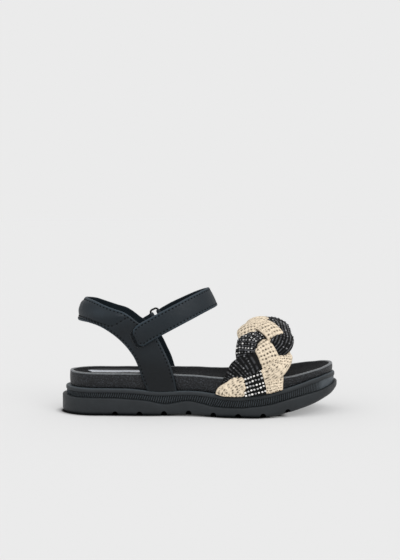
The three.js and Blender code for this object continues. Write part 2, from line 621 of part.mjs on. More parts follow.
// A round bar across the strap's width.
function barAt(middle, radius, length) {
  const geometry = new THREE.CylinderGeometry(radius, radius, length, EYE_SIDES);
  geometry.rotateX(Math.PI / 2);
  geometry.rotateY(-tilt);
  geometry.translate(middle.x, middle.y, middle.z);
  return solidOf(geometry);
}

// A band whose end is an eye round one of the ring's bars.
function eyed(geometry, middle) {
  const eye = barAt(middle, EYE_RADIUS, EYE_LENGTH);
  const hole = barAt(middle, WIRE / 2 + CLEARANCE, 2 * EYE_LENGTH);
  return geometryOf(solidOf(geometry).add(eye).subtract(hole));
}

function ringLoop() {
  const rows = LOOP_ROWS.map((share) => {
    const step = LOOP_LENGTH * share;
    const x = REAR_BAR.x - step;
    const z = share === 0 ? REAR_BAR.z : strapHeight(x);
    const lie = ankleHalf(z) + onQuarter + EYE_WALL / 2;
    const y = mix(RING_Y, lie, smooth(0, LOOP_SETTLE, step));
    return bandLine(INNER, x, y, z, roundedHalf(EYE_LENGTH / 2, LOOP_LENGTH - step, TAB_CORNER));
  });
  const thick = () => EYE_WALL / 2;
  return eyed(walled(rows, thick, thick), REAR_BAR);
}

// The ring: wire bent to a rectangle with round corners, closed on itself.
function strapRing() {
  const longReach = (RING_LENGTH - WIRE) / 2 - RING_CORNER;
  const shortReach = BAR_REACH - RING_CORNER;
  const square = STRAP_ALONG.clone().cross(STRAP_ACROSS);
  const loops = [];
  for (let corner = 0; corner < 4; corner++) {
    for (let step = 0; step < CORNER_STEPS; step++) {
      const angle = (Math.PI / 2) * (corner + step / (CORNER_STEPS - 1));
      const out = STRAP_ALONG.clone()
        .multiplyScalar(Math.cos(angle))
        .addScaledVector(STRAP_ACROSS, Math.sin(angle));
      const middle = RING_MIDDLE.clone()
        .addScaledVector(STRAP_ALONG, corner === 0 || corner === 3 ? shortReach : -shortReach)
        .addScaledVector(STRAP_ACROSS, corner < 2 ? longReach : -longReach)
        .addScaledVector(out, RING_CORNER);
      const section = Array.from({ length: WIRE_SIDES }, (_, k) => {
        const turn = (-2 * Math.PI * k) / WIRE_SIDES;
        const point = middle.clone().addScaledVector(out, (WIRE / 2) * Math.cos(turn));
        return point.addScaledVector(square, (WIRE / 2) * Math.sin(turn));
      });
      loops.push(section);
    }
  }
  return meshOf(loops.flatMap((loop, i) => between(loop, loops[(i + 1) % loops.length])));
}

// The patch on the outer quarter, under the tab and a little behind it.
function fasteningPatch() {
  const rear = TAB_END - PATCH_SHOWS;
  const rows = PATCH_ROWS.map((share) => {
    const x = rear + PATCH_LENGTH * share;
    const z = strapHeight(x) - PATCH_DROP;
    const y = ankleHalf(z) + onQuarter + PATCH_THICKNESS / 2;
    return bandLine(OUTER, x, y, z, roundedHalf(PATCH_WIDTH / 2, x - rear, TAB_CORNER));
  });
  const thick = () => PATCH_THICKNESS / 2;
  return walled(rows, thick, thick);
}

// Braid
const BRAID_MIDDLE = placeOf(BRAID[0].place);
const BRAID_SEAT = randHeight(BRAID_MIDDLE) + CLEARANCE;
const BRAID_STAND = CLEARANCE + BRAID_BACKING; // from the footbed's wall to the middle of the braid's wall
const BRAID_REACH = wallReach(OUTER, BRAID_MIDDLE) + BRAID_STAND;

// Shares of the arch's reach and height at an angle from the outer seat.
const archPower = 2 / ARCH_POWER;
const archReach = (angle) => Math.abs(Math.cos(angle)) ** archPower;
const archRise = (angle) => Math.max(0, Math.sin(angle)) ** archPower;

// The arch's angles at even distances along it, and its whole length.
const ARCH = (() => {
  const fine = FINE_STEPS;
  const run = [0];
  const at = (i) => {
    const angle = (Math.PI * i) / fine;
    const side = i < fine / 2 ? OUTER : INNER;
    return new THREE.Vector2(side * archReach(angle) * BRAID_REACH, archRise(angle) * BRAID_HEIGHT);
  };
  for (let i = 1; i <= fine; i++) run.push(run[i - 1] + at(i).distanceTo(at(i - 1)));
  const angleAt = (share) => {
    const goal = run[fine] * share;
    const i = clamp(run.findIndex((length) => length >= goal) - 1, 0, fine - 1);
    return (Math.PI * (i + (goal - run[i]) / (run[i + 1] - run[i]))) / fine;
  };
  return { length: run[fine], angleAt };
})();

// The middle surface of the braid, at a share of the arch and a distance across from its middle line.
function braidSurface(share, across) {
  const angle = ARCH.angleAt(share);
  const side = share < 0.5 ? OUTER : INNER;
  const x = placeOf(along(BRAID, "place", share)) + across;
  const reach = (wallReach(side, x) + BRAID_STAND) * archReach(angle);
  const seat = randHeight(x) + CLEARANCE;
  const height = mix(seat, BRAID_SEAT + BRAID_HEIGHT, archRise(angle));
  const drop = BRAID_CROWN * (across / (BRAID_SWING + RIBBON_WIDTH / 2)) ** 2 * Math.sin(angle) ** 2;
  const y = side * (reach - drop * Math.abs(Math.cos(angle)));
  return new THREE.Vector3(x, share === 0.5 ? 0 : y, height - drop * Math.sin(angle));
}

// One of the four ribbons at a length along the arch: its middle across the braid, its slope there and its
// lift. A ribbon on its way to the heel side passes over at the middle, and one on its way back under it.
function ribbonAt(number, length) {
  const share = clamp(length / ARCH.length, 0, 1);
  const swing = BRAID_SWING * along(BRAID, "swing", share);
  const angle = 2 * Math.PI * ((length - BRAID_PHASE) / BRAID_PERIOD + (1 - number) / 4);
  const over = Math.cos(4 * angle) * clamp(WEAVE_HOLD * Math.sin(angle), -1, 1);
  return {
    across: swing * Math.cos(angle),
    slope: -((2 * Math.PI * swing) / BRAID_PERIOD) * Math.sin(angle),
    lift: WEAVE_HEIGHT * along(BRAID, "relief", share) * over,
  };
}

const RIBBONS = [0, 1, 2, 3];

// How far the braid's face stands off its middle surface. face is 1 on top and -1 underneath.
function braidFace(face, length, across) {
  const heights = RIBBONS.map((number) => {
    const near = ribbonAt(number, length);
    const back = ((across - near.across) * near.slope) / (1 + near.slope ** 2);
    const foot = ribbonAt(number, length + back);
    const off = Math.abs(across - near.across) / Math.hypot(1, near.slope);
    const aside = Math.min(1, off / (RIBBON_WIDTH / 2));
    const thick = (RIBBON_THICKNESS / 2) * Math.sqrt(1 - aside ** RIBBON_POWER);
    return aside < 1 ? face * foot.lift + thick : 0;
  });
  return Math.max(BRAID_EDGE, ...heights);
}

// The edge of the braid at a length along it, on the heel side or the toe side.
function braidEdge(direction, length) {
  const reaches = RIBBONS.map((number) => {
    const { across, slope } = ribbonAt(number, length);
    return direction * across + (RIBBON_WIDTH / 2) * Math.hypot(1, slope);
  });
  return direction * Math.max(...reaches);
}

function braidedStrap() {
  const rows = [];
  const outward = [];
  const inward = [];
  for (let i = 0; i <= BRAID_STEPS; i++) {
    const share = i / BRAID_STEPS;
    const length = share * ARCH.length;
    const rear = braidEdge(-1, length);
    const front = braidEdge(1, length);
    const places = Array.from({ length: BRAID_ACROSS + 1 }, (_, j) => mix(front, rear, j / BRAID_ACROSS));
    rows.push(places.map((across) => braidSurface(share, across)));
    outward.push(places.map((across) => braidFace(1, length, across)));
    inward.push(
      places.map((across, j) => {
        const { x, y, z } = rows[i][j];
        const room = Math.abs(y) - wallReach(share < 0.5 ? OUTER : INNER, x) - CLEARANCE;
        const leave = rimHeight(x) + WALL_RISE;
        const free = smooth(leave, leave + BRAID_FREE, z);
        return Math.min(braidFace(-1, length, across), mix(room, RIBBON_WIDTH, free));
      }),
    );
  }
  const seat = (point, i) => {
    if (i === 0 || i === BRAID_STEPS) point.z = randHeight(point.x) + CLEARANCE;
    return point;
  };
  return walled(rows, (i, j) => outward[i][j], (i, j) => inward[i][j], seat);
}

const group = new THREE.Group();

function add(name, geometry, color, roughness, metalness = 0) {
  const mesh = new THREE.Mesh(geometry, new THREE.MeshStandardMaterial({ color, roughness, metalness }));
  mesh.name = name;
  group.add(mesh);
}

add("outsole", outsole(), 0x2f3236, 0.7);
add("rand", rand(), 0x34373b, 0.6);
add("footbed", footbed(), 0x1c1d20, 0.6);
add("insole", insole(), 0x17181a, 0.5);
add("ankle_quarters", ankleQuarters(), 0x1b1d22, 0.6);
add("instep_strap", instepStrap(), 0x1b1d22, 0.6);
add("fastening_patch", fasteningPatch(), 0x101114, 0.9);
add("strap_ring", strapRing(), 0x0c0c0e, 0.3, 0.6);
add("ring_loop", ringLoop(), 0x1b1d22, 0.6);
add("braided_strap", braidedStrap(), 0xd8c6a8, 0.85);

export default group;
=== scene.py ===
"""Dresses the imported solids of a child's braided platform sandal, the right shoe, for a studio picture."""
import math

import bpy
import numpy as np
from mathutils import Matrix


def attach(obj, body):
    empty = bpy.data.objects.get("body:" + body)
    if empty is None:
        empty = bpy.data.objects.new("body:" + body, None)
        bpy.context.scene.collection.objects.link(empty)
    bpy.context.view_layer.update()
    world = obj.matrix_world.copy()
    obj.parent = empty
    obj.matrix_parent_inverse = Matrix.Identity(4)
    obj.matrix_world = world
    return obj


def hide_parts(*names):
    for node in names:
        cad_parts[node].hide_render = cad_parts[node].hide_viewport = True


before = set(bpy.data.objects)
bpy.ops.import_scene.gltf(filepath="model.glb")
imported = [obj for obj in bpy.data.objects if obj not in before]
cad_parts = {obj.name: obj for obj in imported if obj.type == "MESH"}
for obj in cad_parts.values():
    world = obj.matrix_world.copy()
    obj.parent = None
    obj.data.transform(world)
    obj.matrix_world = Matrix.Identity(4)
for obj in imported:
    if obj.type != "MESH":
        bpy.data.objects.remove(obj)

bl_info = {
    "name": "Braided sandal",
    "version": (1, 0, 0),
    "blender": (4, 5, 0),
    "location": "View3D > Sidebar > Sandal",
    "description": "Makes the visible pieces of a child's braided platform sandal",
    "category": "Add Mesh",
}

MM = 0.001
ROOT = "root"
OUTER, INNER = -1, 1  # the outer side of the foot lies along -Y

# Sole, in millimetres, as in the solids
LENGTH = 216.0
BALL_WIDTH = 86.0
HEEL_ROUND = 0.135
TOE_ROUND = 0.24
TOE_SPRING = 17.2
ARCH_LIFT = 1.5
OUTSOLE_HEIGHT = 13.3
RAND_HEIGHT = 7.2
FOOTBED_HEIGHT = 12.0
LEDGE_STEP = 2.6
RAND_STEP = 3.1
LOWER_EDGE = 3.4
UPPER_EDGE = 1.2
BAND_HEIGHT = 3.4
BAND_EDGE = 1.5
BAND_UNDER = 0.9
STRIP_INSET = 0.6
RIB_LEAN = 0.3
GROOVE_PITCH = 18.8
GROOVE_WIDTH = 4.6
GROOVE_HEIGHT = 3.3
GROOVE_COUNT = 8
GROOVE_DEPTH = 4.5
FIRST_GROOVE = 42.9
RIM_EDGE = 0.9
WALL_SWELL = 0.25
RIM_WIDTH = 2.2
RIM_DRAFT = 0.27
RECESS = 1.5
CUP_DEPTH = 2.4
CUP_SLOPE = 8.0
CUP_SHARE = 0.7
INSOLE_THICKNESS = 1.0
CLEARANCE = 0.3

# The glossy patch on the insole's heel: its ends along the sole and its distance from the rim
GLOSS_BACK = -90.0
GLOSS_FRONT = -47.0
GLOSS_MARGIN = 5.0
GLOSS_THICKNESS = 0.2
GLOSS_LIFT = 0.12

# Upper, in millimetres, degrees and shares of the sole's length
UPPER_HEIGHT = 71.0
SEAT_SHARE = 0.36
HEEL_TURN = 0.235
HEEL_BACK_LOW = 0.06
HEEL_BACK_HIGH = 0.088
HEEL_POWER = 0.56
TAB_SHARE = 0.272
INSTEP_TURN = 0.37
INSTEP_FRONT = 0.544
ANKLE_SHARE = 0.55
WALL_RISE = 1.0
ANKLE_HALF = 26.0
ANKLE_TAPER = 4.6
QUARTER_THICKNESS = 2.4
STRAP_WIDTH = 16.2
STRAP_THICKNESS = 2.2
STRAP_TILT = math.radians(26)
PATCH_THICKNESS = 1.0
WIRE = 1.6
RING_LENGTH = 20.8
RING_WIDTH = 8.2
RING_CORNER = 2.2
EYE_WALL = 1.1
RING_SHARE = 0.345
RING_SETTLE = 22.0
EYE_LENGTH = 15.4
LOOP_LENGTH = 14.0
LOOP_SETTLE = 6.0
LOOP_CHANNEL = 1.5
BAND_IN_EYE = 1.6
STITCH_SINK = 0.12
TAB_CORNER = 4.6
PATCH_LENGTH = 22.0
PATCH_WIDTH = 15.4
PATCH_SHOWS = 2.6
PATCH_DROP = 0.4
FOLD_POWER = 1.3

# Braid, in millimetres
BRAID_HEIGHT = 52.0
BRAID_CROWN = 9.0
RIBBON_WIDTH = 19.2
RIBBON_THICKNESS = 5.2
RIBBON_POWER = 2.8
EDGE_SHADE = 0.85
WEAVE_HEIGHT = 2.5
WEAVE_HOLD = 1.6
BRAID_SWING = 11.8
BRAID_PERIOD = 104.0
BRAID_PHASE = 10.0
BRAID_BACKING = 2.6
BRAID_FREE = 8.0
ARCH_POWER = 2.3
BLACK_REAR, NATURAL_FRONT, NATURAL_REAR, BLACK_FRONT = range(4)


def table(names, *rows):
    """A table of rows as one array for each column."""
    return dict(zip(names.split(), np.array(rows, float).T))


LAYERS = table(
    "at bottom arch outsole rand footbed",
    (0.0, 0, 0, 1.08, 0.95, 1.03),
    (0.05, 0, 0, 0.99, 1.0, 0.98),
    (0.11, 0, 0, 1.0, 0.97, 0.97),
    (0.19, 0, 0, 0.99, 0.98, 0.96),
    (0.25, 0, 0, 0.94, 1.04, 0.98),
    (0.31, 0, 0.07, 0.86, 1.02, 1.07),
    (0.38, 0, 0.53, 0.63, 1.3, 1.09),
    (0.42, 0, 0.87, 0.71, 1.14, 1.05),
    (0.457, 0, 1, 0.79, 1.0, 1.01),
    (0.5, 0, 0.8, 0.69, 1.18, 1.01),
    (0.55, 0, 0.27, 0.58, 1.33, 1.04),
    (0.59, 0, 0, 0.57, 1.18, 1.14),
    (0.64, 0, 0, 0.56, 1.18, 1.14),
    (0.69, 0, 0, 0.65, 1.17, 1.05),
    (0.74, 0.05, 0, 0.69, 1.19, 0.94),
    (0.78, 0.13, 0, 0.75, 1.19, 0.79),
    (0.82, 0.24, 0, 0.78, 1.18, 0.68),
    (0.86, 0.37, 0, 0.75, 1.26, 0.61),
    (0.9, 0.51, 0, 0.69, 1.38, 0.54),
    (0.94, 0.69, 0, 0.59, 1.4, 0.51),
    (0.97, 0.83, 0, 0.56, 1.24, 0.55),
    (1.0, 1, 0, 0.51, 0.95, 0.62),
)
PLAN = table(
    "at middle half ledge shelf",
    (0.0, 0, 0.67, 1.05, 1.08),
    (0.14, 0, 0.67, 1.0, 1.05),
    (0.25, -0.01, 0.69, 1.0, 1.0),
    (0.35, -0.03, 0.71, 1.0, 1.0),
    (0.45, -0.045, 0.76, 0.95, 1.0),
    (0.55, -0.045, 0.85, 0.9, 1.0),
    (0.65, -0.025, 0.95, 0.85, 1.0),
    (0.72, -0.005, 0.99, 0.85, 0.97),
    (0.78, 0.01, 0.99, 0.8, 0.9),
    (0.85, 0.035, 0.98, 0.75, 0.8),
    (0.92, 0.07, 0.97, 0.7, 0.65),
    (1.0, 0.12, 0.97, 0.7, 0.6),
)
QUARTER = table(
    "front frontRise rear rearRise",
    (0.419, 0, 0.314, 0),
    (0.412, 0.115, 0.303, 0.07),
    (0.404, 0.204, 0.292, 0.155),
    (0.393, 0.307, 0.281, 0.26),
    (0.378, 0.406, 0.268, 0.352),
    (0.36, 0.518, 0.252, 0.428),
    (0.337, 0.624, 0.235, 0.492),
    (0.308, 0.694, 0.216, 0.55),
    (0.28, 0.744, 0.196, 0.6),
    (0.254, 0.806, 0.173, 0.647),
    (0.227, 0.856, 0.149, 0.687),
    (0.192, 0.89, 0.125, 0.714),
    (0.155, 0.932, 0.1, 0.732),
    (0.122, 0.972, 0.079, 0.738),
    (0.098, 0.99, 0.065, 0.741),
    (0.088, 0.996, 0.06, 0.742),
)
STRAP_LINE = table(
    "at rise",
    (0.24, 0.535),
    (0.315, 0.655),
    (0.384, 0.769),
    (0.454, 0.877),
    (0.509, 0.956),
    (0.537, 0.99),
    (0.551, 1.003),
)
BRAID = table(
    "at place swing relief",
    (0.0, 0.672, 1.36, 0.42),
    (0.09, 0.687, 1.12, 0.6),
    (0.14, 0.7045, 1.24, 0.8),
    (0.18, 0.7155, 1.13, 0.9),
    (0.23, 0.726, 1.0, 1.0),
    (0.35, 0.736, 0.96, 1.0),
    (0.65, 0.736, 0.96, 1.0),
    (0.78, 0.724, 1.0, 1.0),
    (0.86, 0.714, 1.08, 0.8),
    (0.93, 0.706, 1.12, 0.6),
    (1.0, 0.7, 1.18, 0.42),
)


def along(rows, column, at):
    """A smooth value between the rows of a table."""
    x, y = rows["at"], rows[column]
    at = np.clip(np.asarray(at, float), x[0], x[-1])
    slope = np.diff(y) / np.diff(x)
    product, total = slope[:-1] * slope[1:], slope[:-1] + slope[1:]
    bend = np.zeros(len(x))
    bend[1:-1] = np.where(product > 0, 2 * product / np.where(total == 0, 1, total), 0)
    i = np.clip(np.searchsorted(x, at, side="right") - 1, 0, len(x) - 2)
    span = x[i + 1] - x[i]
    t, rise = (at - x[i]) / span, y[i + 1] - y[i]
    start, end = bend[i] * span, bend[i + 1] * span
    return y[i] + t * start + t**2 * (3 * rise - 2 * start - end) + t**3 * (start + end - 2 * rise)


def mix(a, b, t):
    return a + (b - a) * t


def smooth(low, high, value):
    t = np.clip((value - low) / (high - low), 0, 1)
    return t * t * (3 - 2 * t)


def share_of(x):
    return x / LENGTH + 0.5


def place_of(share):
    return (share - 0.5) * LENGTH


def unit(vectors):
    size = np.linalg.norm(vectors, axis=-1, keepdims=True)
    return vectors / np.where(size < 1e-9, 1, size)


# Heights of the sole's surfaces at a place along it
def bottom_height(x):
    share = share_of(x)
    return TOE_SPRING * along(LAYERS, "bottom", share) + ARCH_LIFT * along(LAYERS, "arch", share)


def ledge_height(x):
    return bottom_height(x) + OUTSOLE_HEIGHT * along(LAYERS, "outsole", share_of(x))


def rand_height(x):
    return ledge_height(x) + RAND_HEIGHT * along(LAYERS, "rand", share_of(x))


def rim_height(x):
    return rand_height(x) + FOOTBED_HEIGHT * along(LAYERS, "footbed", share_of(x))


def band_inset(x):
    return LEDGE_STEP * along(PLAN, "ledge", share_of(x))


def wall_inset(x):
    return band_inset(x) + RAND_STEP * along(PLAN, "shelf", share_of(x))


def outline_side(side, turn):
    share = 0.5 - 0.5 * np.cos(np.pi * turn)
    heel = np.clip(1 - share / HEEL_ROUND, 0, 1)
    toe = np.clip(1 - (1 - share) / TOE_ROUND, 0, 1)
    round_off = np.sqrt(np.maximum(0, (1 - heel**2) * (1 - toe**2)))
    half = BALL_WIDTH / 2 * along(PLAN, "half", share) * round_off
    middle = BALL_WIDTH / 2 * along(PLAN, "middle", share)
    return np.stack([place_of(share), middle + side * half], -1)


class SoleLine:
    """The outsole's outline by the distance along it: from the heel by the outer side to the toe and back."""

    def __init__(self, steps=900):
        turn = np.linspace(0, 1, steps)
        outer, inner = outline_side(OUTER, turn), outline_side(INNER, turn)
        shift = (-outer[:, 1].min() - inner[:, 1].max()) / 2
        line = np.vstack([outer, inner[-2::-1]]) + (0, shift)
        self.run = np.concatenate([[0], np.cumsum(np.linalg.norm(np.diff(line, axis=0), axis=1))])
        self.line = line
        self.toe = self.run[steps - 1]
        self.length = self.run[-1]
        tangent = np.roll(line[:-1], -2, axis=0) - np.roll(line[:-1], 2, axis=0)
        out = unit(np.stack([tangent[:, 1], -tangent[:, 0]], -1))
        self.out = np.vstack([out, out[:1]])

    def at(self, run):
        run = np.mod(run, self.length)
        point = np.stack([np.interp(run, self.run, self.line[:, k]) for k in (0, 1)], -1)
        return point, unit(np.stack([np.interp(run, self.run, self.out[:, k]) for k in (0, 1)], -1))

    def runs(self, side_steps):
        """Even distances, as many on either side."""
        outer = np.linspace(0, self.toe, side_steps, endpoint=False)
        inner = np.linspace(self.toe, self.length, side_steps, endpoint=False)
        return np.concatenate([outer, inner])


SOLE = SoleLine()


def ring(run, inset, height):
    """A ring round the sole: the outline moved in by inset(x), at height(x)."""
    point, out = SOLE.at(run)
    flat = point - out * np.broadcast_to(inset(point[:, 0]), len(point))[:, None]
    return np.column_stack([flat, height(flat[:, 0])])


def raised(height, by):
    return lambda x: height(x) + by


def level(value):
    return lambda x: value + 0 * x


def wall_edges():
    edge = ring(SOLE.runs(400), wall_inset, rand_height)
    sides = {}
    for side in (OUTER, INNER):
        half = edge[side * edge[:, 1] > 0]
        sides[side] = half[np.argsort(half[:, 0])]
    return sides


WALL_EDGES = wall_edges()


def wall_reach(side, x):
    """How far the footbed's wall stands out from the middle on the side given for each place."""
    outer, inner = WALL_EDGES[OUTER], WALL_EDGES[INNER]
    return np.where(
        np.asarray(side) < 0,
        -np.interp(x, outer[:, 0], outer[:, 1]),
        np.interp(x, inner[:, 0], inner[:, 1]),
    )


# Meshes
def mesh_piece(name, points, faces, materials, shade=None, slots=None, crease=50):
    """A smooth piece from points in millimetres. shade holds one number for each point, for its material:
    its painted shade and painted highlights.
    """
    mesh = bpy.data.meshes.new(name)
    mesh.from_pydata((np.asarray(points) * MM).tolist(), [], [list(face) for face in faces])
    layer = mesh.attributes.new("shade", "FLOAT", "POINT")
    shade = np.full(len(mesh.vertices), 0.5) if shade is None else np.asarray(shade).ravel()
    layer.data.foreach_set("value", shade.astype(np.float32))
    if slots is not None:
        mesh.polygons.foreach_set("material_index", np.asarray(slots, np.int32))
    mesh.validate()
    mesh.shade_smooth()
    mesh.set_sharp_from_angle(angle=math.radians(crease))
    piece = bpy.data.objects.new(name, mesh)
    bpy.context.scene.collection.objects.link(piece)
    for material in materials:
        mesh.materials.append(material)
    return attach(piece, ROOT)


def grid_faces(rows, columns, closed=False, first=0):
    """Faces between the points of a grid; closed joins its last column to its first."""
    i, j = np.meshgrid(np.arange(rows - 1), np.arange(columns if closed else columns - 1), indexing="ij")
    k = (j + 1) % columns
    faces = np.stack([i * columns + j, i * columns + k, (i + 1) * columns + k, (i + 1) * columns + j], -1)
    return (faces.reshape(-1, 4) + first).tolist()


def wheel_faces(rows, columns):
    """Faces of a grid that closes both ways."""
    faces, first = grid_faces(rows, columns, closed=True), (rows - 1) * columns
    for j in range(columns):
        k = (j + 1) % columns
        faces.append([first + j, first + k, k, j])
    return faces


def lid_faces(count, first, up):
    """A lid on a ring that has as many points on either side."""
    faces = []
    for i in range(count // 2):
        face = [i, i + 1, (count - i - 1) % count, (count - i) % count]
        face = list(dict.fromkeys(face))
        faces.append([first + k for k in (face if up else face[::-1])])
    return faces


def layered(name, rings, materials, slots=None, shade=None, crease=50):
    """A solid through rings, from its underside round its side to its top."""
    count = len(rings[0])
    faces = grid_faces(len(rings), count, closed=True)
    kinds = None
    if slots is not None:
        kinds = [kind for kind in slots for _ in range(count)]
    lids = lid_faces(count, 0, False) + lid_faces(count, (len(rings) - 1) * count, True)
    if kinds is not None:
        kinds += [slots[0]] * (len(lids) // 2) + [slots[-1]] * (len(lids) // 2)
    points = np.vstack(rings)
    return mesh_piece(name, points, faces + lids, materials, shade=shade, slots=kinds, crease=crease)


def arc(steps):
    """Sines and cosines over a quarter turn, as pairs."""
    angles = np.linspace(0, math.pi / 2, steps)
    return list(zip(np.sin(angles), np.cos(angles)))


# Materials
def tone(red, green, blue):
    """A colour from its screen values, 0 to 255."""
    parts = (c / 255 for c in (red, green, blue))
    return tuple(((c + 0.055) / 1.055) ** 2.4 if c > 10 / 255 else c / 12.92 for c in parts) + (1.0,)


class Finish:
    """A material built from named nodes."""

    def __init__(self, name, colour, roughness, **sockets):
        self.material = bpy.data.materials.new(name)
        self.material.use_nodes = True
        self.tree = self.material.node_tree
        self.surface = self.tree.nodes["Principled BSDF"]
        self.surface.inputs["Base Color"].default_value = colour
        self.surface.inputs["Roughness"].default_value = roughness
        for socket, value in sockets.items():
            self.surface.inputs[socket.replace("_", " ").title().replace("Ior", "IOR")].default_value = value
        self.where = self.tree.nodes.new("ShaderNodeTexCoord").outputs["Object"]
        self.height = None

    def node(self, kind, **values):
        made = self.tree.nodes.new(kind)
        for key, value in values.items():
            setattr(made, key, value)
        return made

    def join(self, source, target):
        self.tree.links.new(source, target)

    def noise(self, size, detail=4.0):
        """Noise whose blobs are about the size given in millimetres."""
        made = self.node("ShaderNodeTexNoise")
        made.inputs["Scale"].default_value = 1 / (size * MM)
        made.inputs["Detail"].default_value = detail
        made.inputs["Roughness"].default_value = 0.55
        self.join(self.where, made.inputs["Vector"])
        return made.outputs["Fac"]

    def cells(self, size):
        """Cells about as wide as the size given in millimetres."""
        made = self.node("ShaderNodeTexVoronoi")
        made.inputs["Scale"].default_value = 1 / (size * MM)
        self.join(self.where, made.inputs["Vector"])
        return made.outputs["Distance"]

    def shade(self):
        made = self.node("ShaderNodeAttribute", attribute_name="shade")
        return made.outputs["Fac"]

    def ramp(self, source, *stops):
        """A value through stops of (place, colour or number)."""
        made = self.node("ShaderNodeValToRGB")
        elements = made.color_ramp.elements
        while len(elements) < len(stops):
            elements.new(0.5)
        for element, (at, colour) in zip(elements, stops):
            element.position = at
            element.color = colour if isinstance(colour, tuple) else (colour, colour, colour, 1)
        self.join(source, made.inputs["Fac"])
        return made.outputs["Color"]

    def sum(self, a, b, share):
        """One value with a share of another added."""
        made = self.node("ShaderNodeMath", operation="MULTIPLY_ADD")
        self.join(b, made.inputs[0])
        made.inputs[1].default_value = share
        self.join(a, made.inputs[2])
        return made.outputs["Value"]

    def tinted(self, source, *stops):
        """A ramp of colours that the shade of the points makes darker below a half and lighter above:
            painted shade and painted highlights.
        """
        both = self.node("ShaderNodeMix", data_type="RGBA", blend_type="MULTIPLY")
        both.inputs["Factor"].default_value = 1.0
        self.join(self.ramp(source, *stops), both.inputs["A"])
        self.join(self.ramp(self.shade(), (0.0, 0.04), (0.5, 0.4), (1.0, 1.7)), both.inputs["B"])
        self.join(both.outputs["Result"], self.surface.inputs["Base Color"])

    def risen(self, low, high):
        """How far up a point lies between two heights in millimetres."""
        parts = self.node("ShaderNodeSeparateXYZ")
        made = self.node("ShaderNodeMapRange")
        self.join(self.where, parts.inputs[0])
        self.join(parts.outputs["Z"], made.inputs["Value"])
        made.inputs["From Min"].default_value = low * MM
        made.inputs["From Max"].default_value = high * MM
        return made.outputs["Result"]

    def coloured(self, source, *stops):
        self.join(self.ramp(source, *stops), self.surface.inputs["Base Color"])

    def glossed(self, source, *stops):
        self.join(self.ramp(source, *stops), self.surface.inputs["Roughness"])

    def bumped(self, source, depth):
        """Relief of the depth given in millimetres."""
        made = self.node("ShaderNodeBump")
        made.inputs["Distance"].default_value = depth * MM
        self.join(source, made.inputs["Height"])
        if self.height is not None:
            self.join(self.height, made.inputs["Normal"])
        self.height = made.outputs["Normal"]
        self.join(self.height, self.surface.inputs["Normal"])


def darker(colour, share):
    return tuple(c * share for c in colour[:3]) + (1.0,)


def colour_of(name, description, *screen):
    """A colour that a user may change, with its default in screen values."""
    return bpy.props.FloatVectorProperty(
        name=name, description=description, default=tone(*screen), size=4, min=0, max=1, subtype="COLOR"
    )


def length_of(name, description, millimetres):
    """A length that a user may change, with its default in millimetres."""
    return bpy.props.FloatProperty(
        name=name, description=description, default=millimetres * MM, min=0, unit="LENGTH", precision=5
    )


class SandalColours(bpy.types.PropertyGroup):
    """Colours of the sandal's materials."""

    rubber: colour_of("Rubber", "Outsole and rand", 33, 37, 40)
    leather: colour_of("Leather", "Quarters, straps and loop", 23, 31, 37)
    cover: colour_of("Cover", "Grained cover of the footbed's side", 20, 22, 25)
    # The rim's colour, far lighter than the cover's, is a painted highlight on the cover's rounded top edge
    rim: colour_of("Rim", "Rounded edge of the footbed's cover", 82, 85, 88)
    sock: colour_of("Sock", "Insole", 24, 25, 27)
    raffia: colour_of("Raffia", "Natural crocheted ribbons", 230, 214, 190)
    # The hole colour is a painted shade for the holes and gaps of the crochet
    hole: colour_of("Raffia holes", "Holes and gaps of the natural ribbons", 40, 27, 18)
    # The straw colour is the grey of its ridge tops, a painted highlight; the straw itself is near black
    straw: colour_of("Black straw", "Black ribbons", 76, 77, 80)
    # The bead colour is the brightest painted reflection on the silver beads
    bead: colour_of("Beads", "Bright beads of the black ribbons", 246, 244, 240)
    thread: colour_of("Thread", "Stitches", 6, 7, 9)
    floor: colour_of("Floor", "Studio floor", 235, 235, 235)


class SandalSizes(bpy.types.PropertyGroup):
    """Sizes of the details that the solids leave out."""

    rib_pitch: length_of("Rib pitch", "Distance between the ribs of the rand's strip", 1.75)
    rib_depth: length_of("Rib depth", "Depth of the valleys between the ribs", 0.75)
    stitch_pitch: length_of("Stitch pitch", "Distance from stitch to stitch", 2.9)
    stitch_length: length_of("Stitch length", "Visible length of a stitch", 1.6)
    thread: length_of("Thread", "Diameter of the sewing thread", 0.8)
    stitch_inset: length_of("Stitch inset", "Distance of a stitch line from its edge", 1.9)
    bead_rows: length_of("Bead rows", "Distance between rows of beads", 3.1)
    bead_size: length_of("Bead size", "Side of a bead", 1.5)
    hole_pitch: length_of("Hole pitch", "Distance between holes across a natural ribbon", 2.35)
    hole_rows: length_of("Hole rows", "Distance between rows of holes", 3.0)


def sizes():
    return bpy.context.scene.sandal_sizes


def colours():
    return bpy.context.scene.sandal_colours


_finishes = {}


def finish_of(kind):
    """One of the sandal's materials, made once."""
    if kind not in _finishes:
        _finishes[kind] = FINISHES[kind]()
    return _finishes[kind]


def rubber():
    base = tuple(colours().rubber)
    made = Finish("moulded_rubber", base, 0.55, specular_ior_level=0.3)
    wear = made.noise(9, detail=6)
    made.tinted(wear, (0.3, darker(base, 2.1)), (0.7, darker(base, 2.9)))
    made.glossed(made.noise(3), (0.3, 0.48), (0.7, 0.62))
    made.bumped(made.noise(0.5, detail=5), 0.05)
    return made.material


def groove():
    # Near black rubber for the grooves' cut faces: painted shade inside the grooves
    made = Finish("groove_shade_rubber", tone(5, 6, 7), 0.9, specular_ior_level=0.05)
    made.bumped(made.noise(0.5), 0.05)
    return made.material


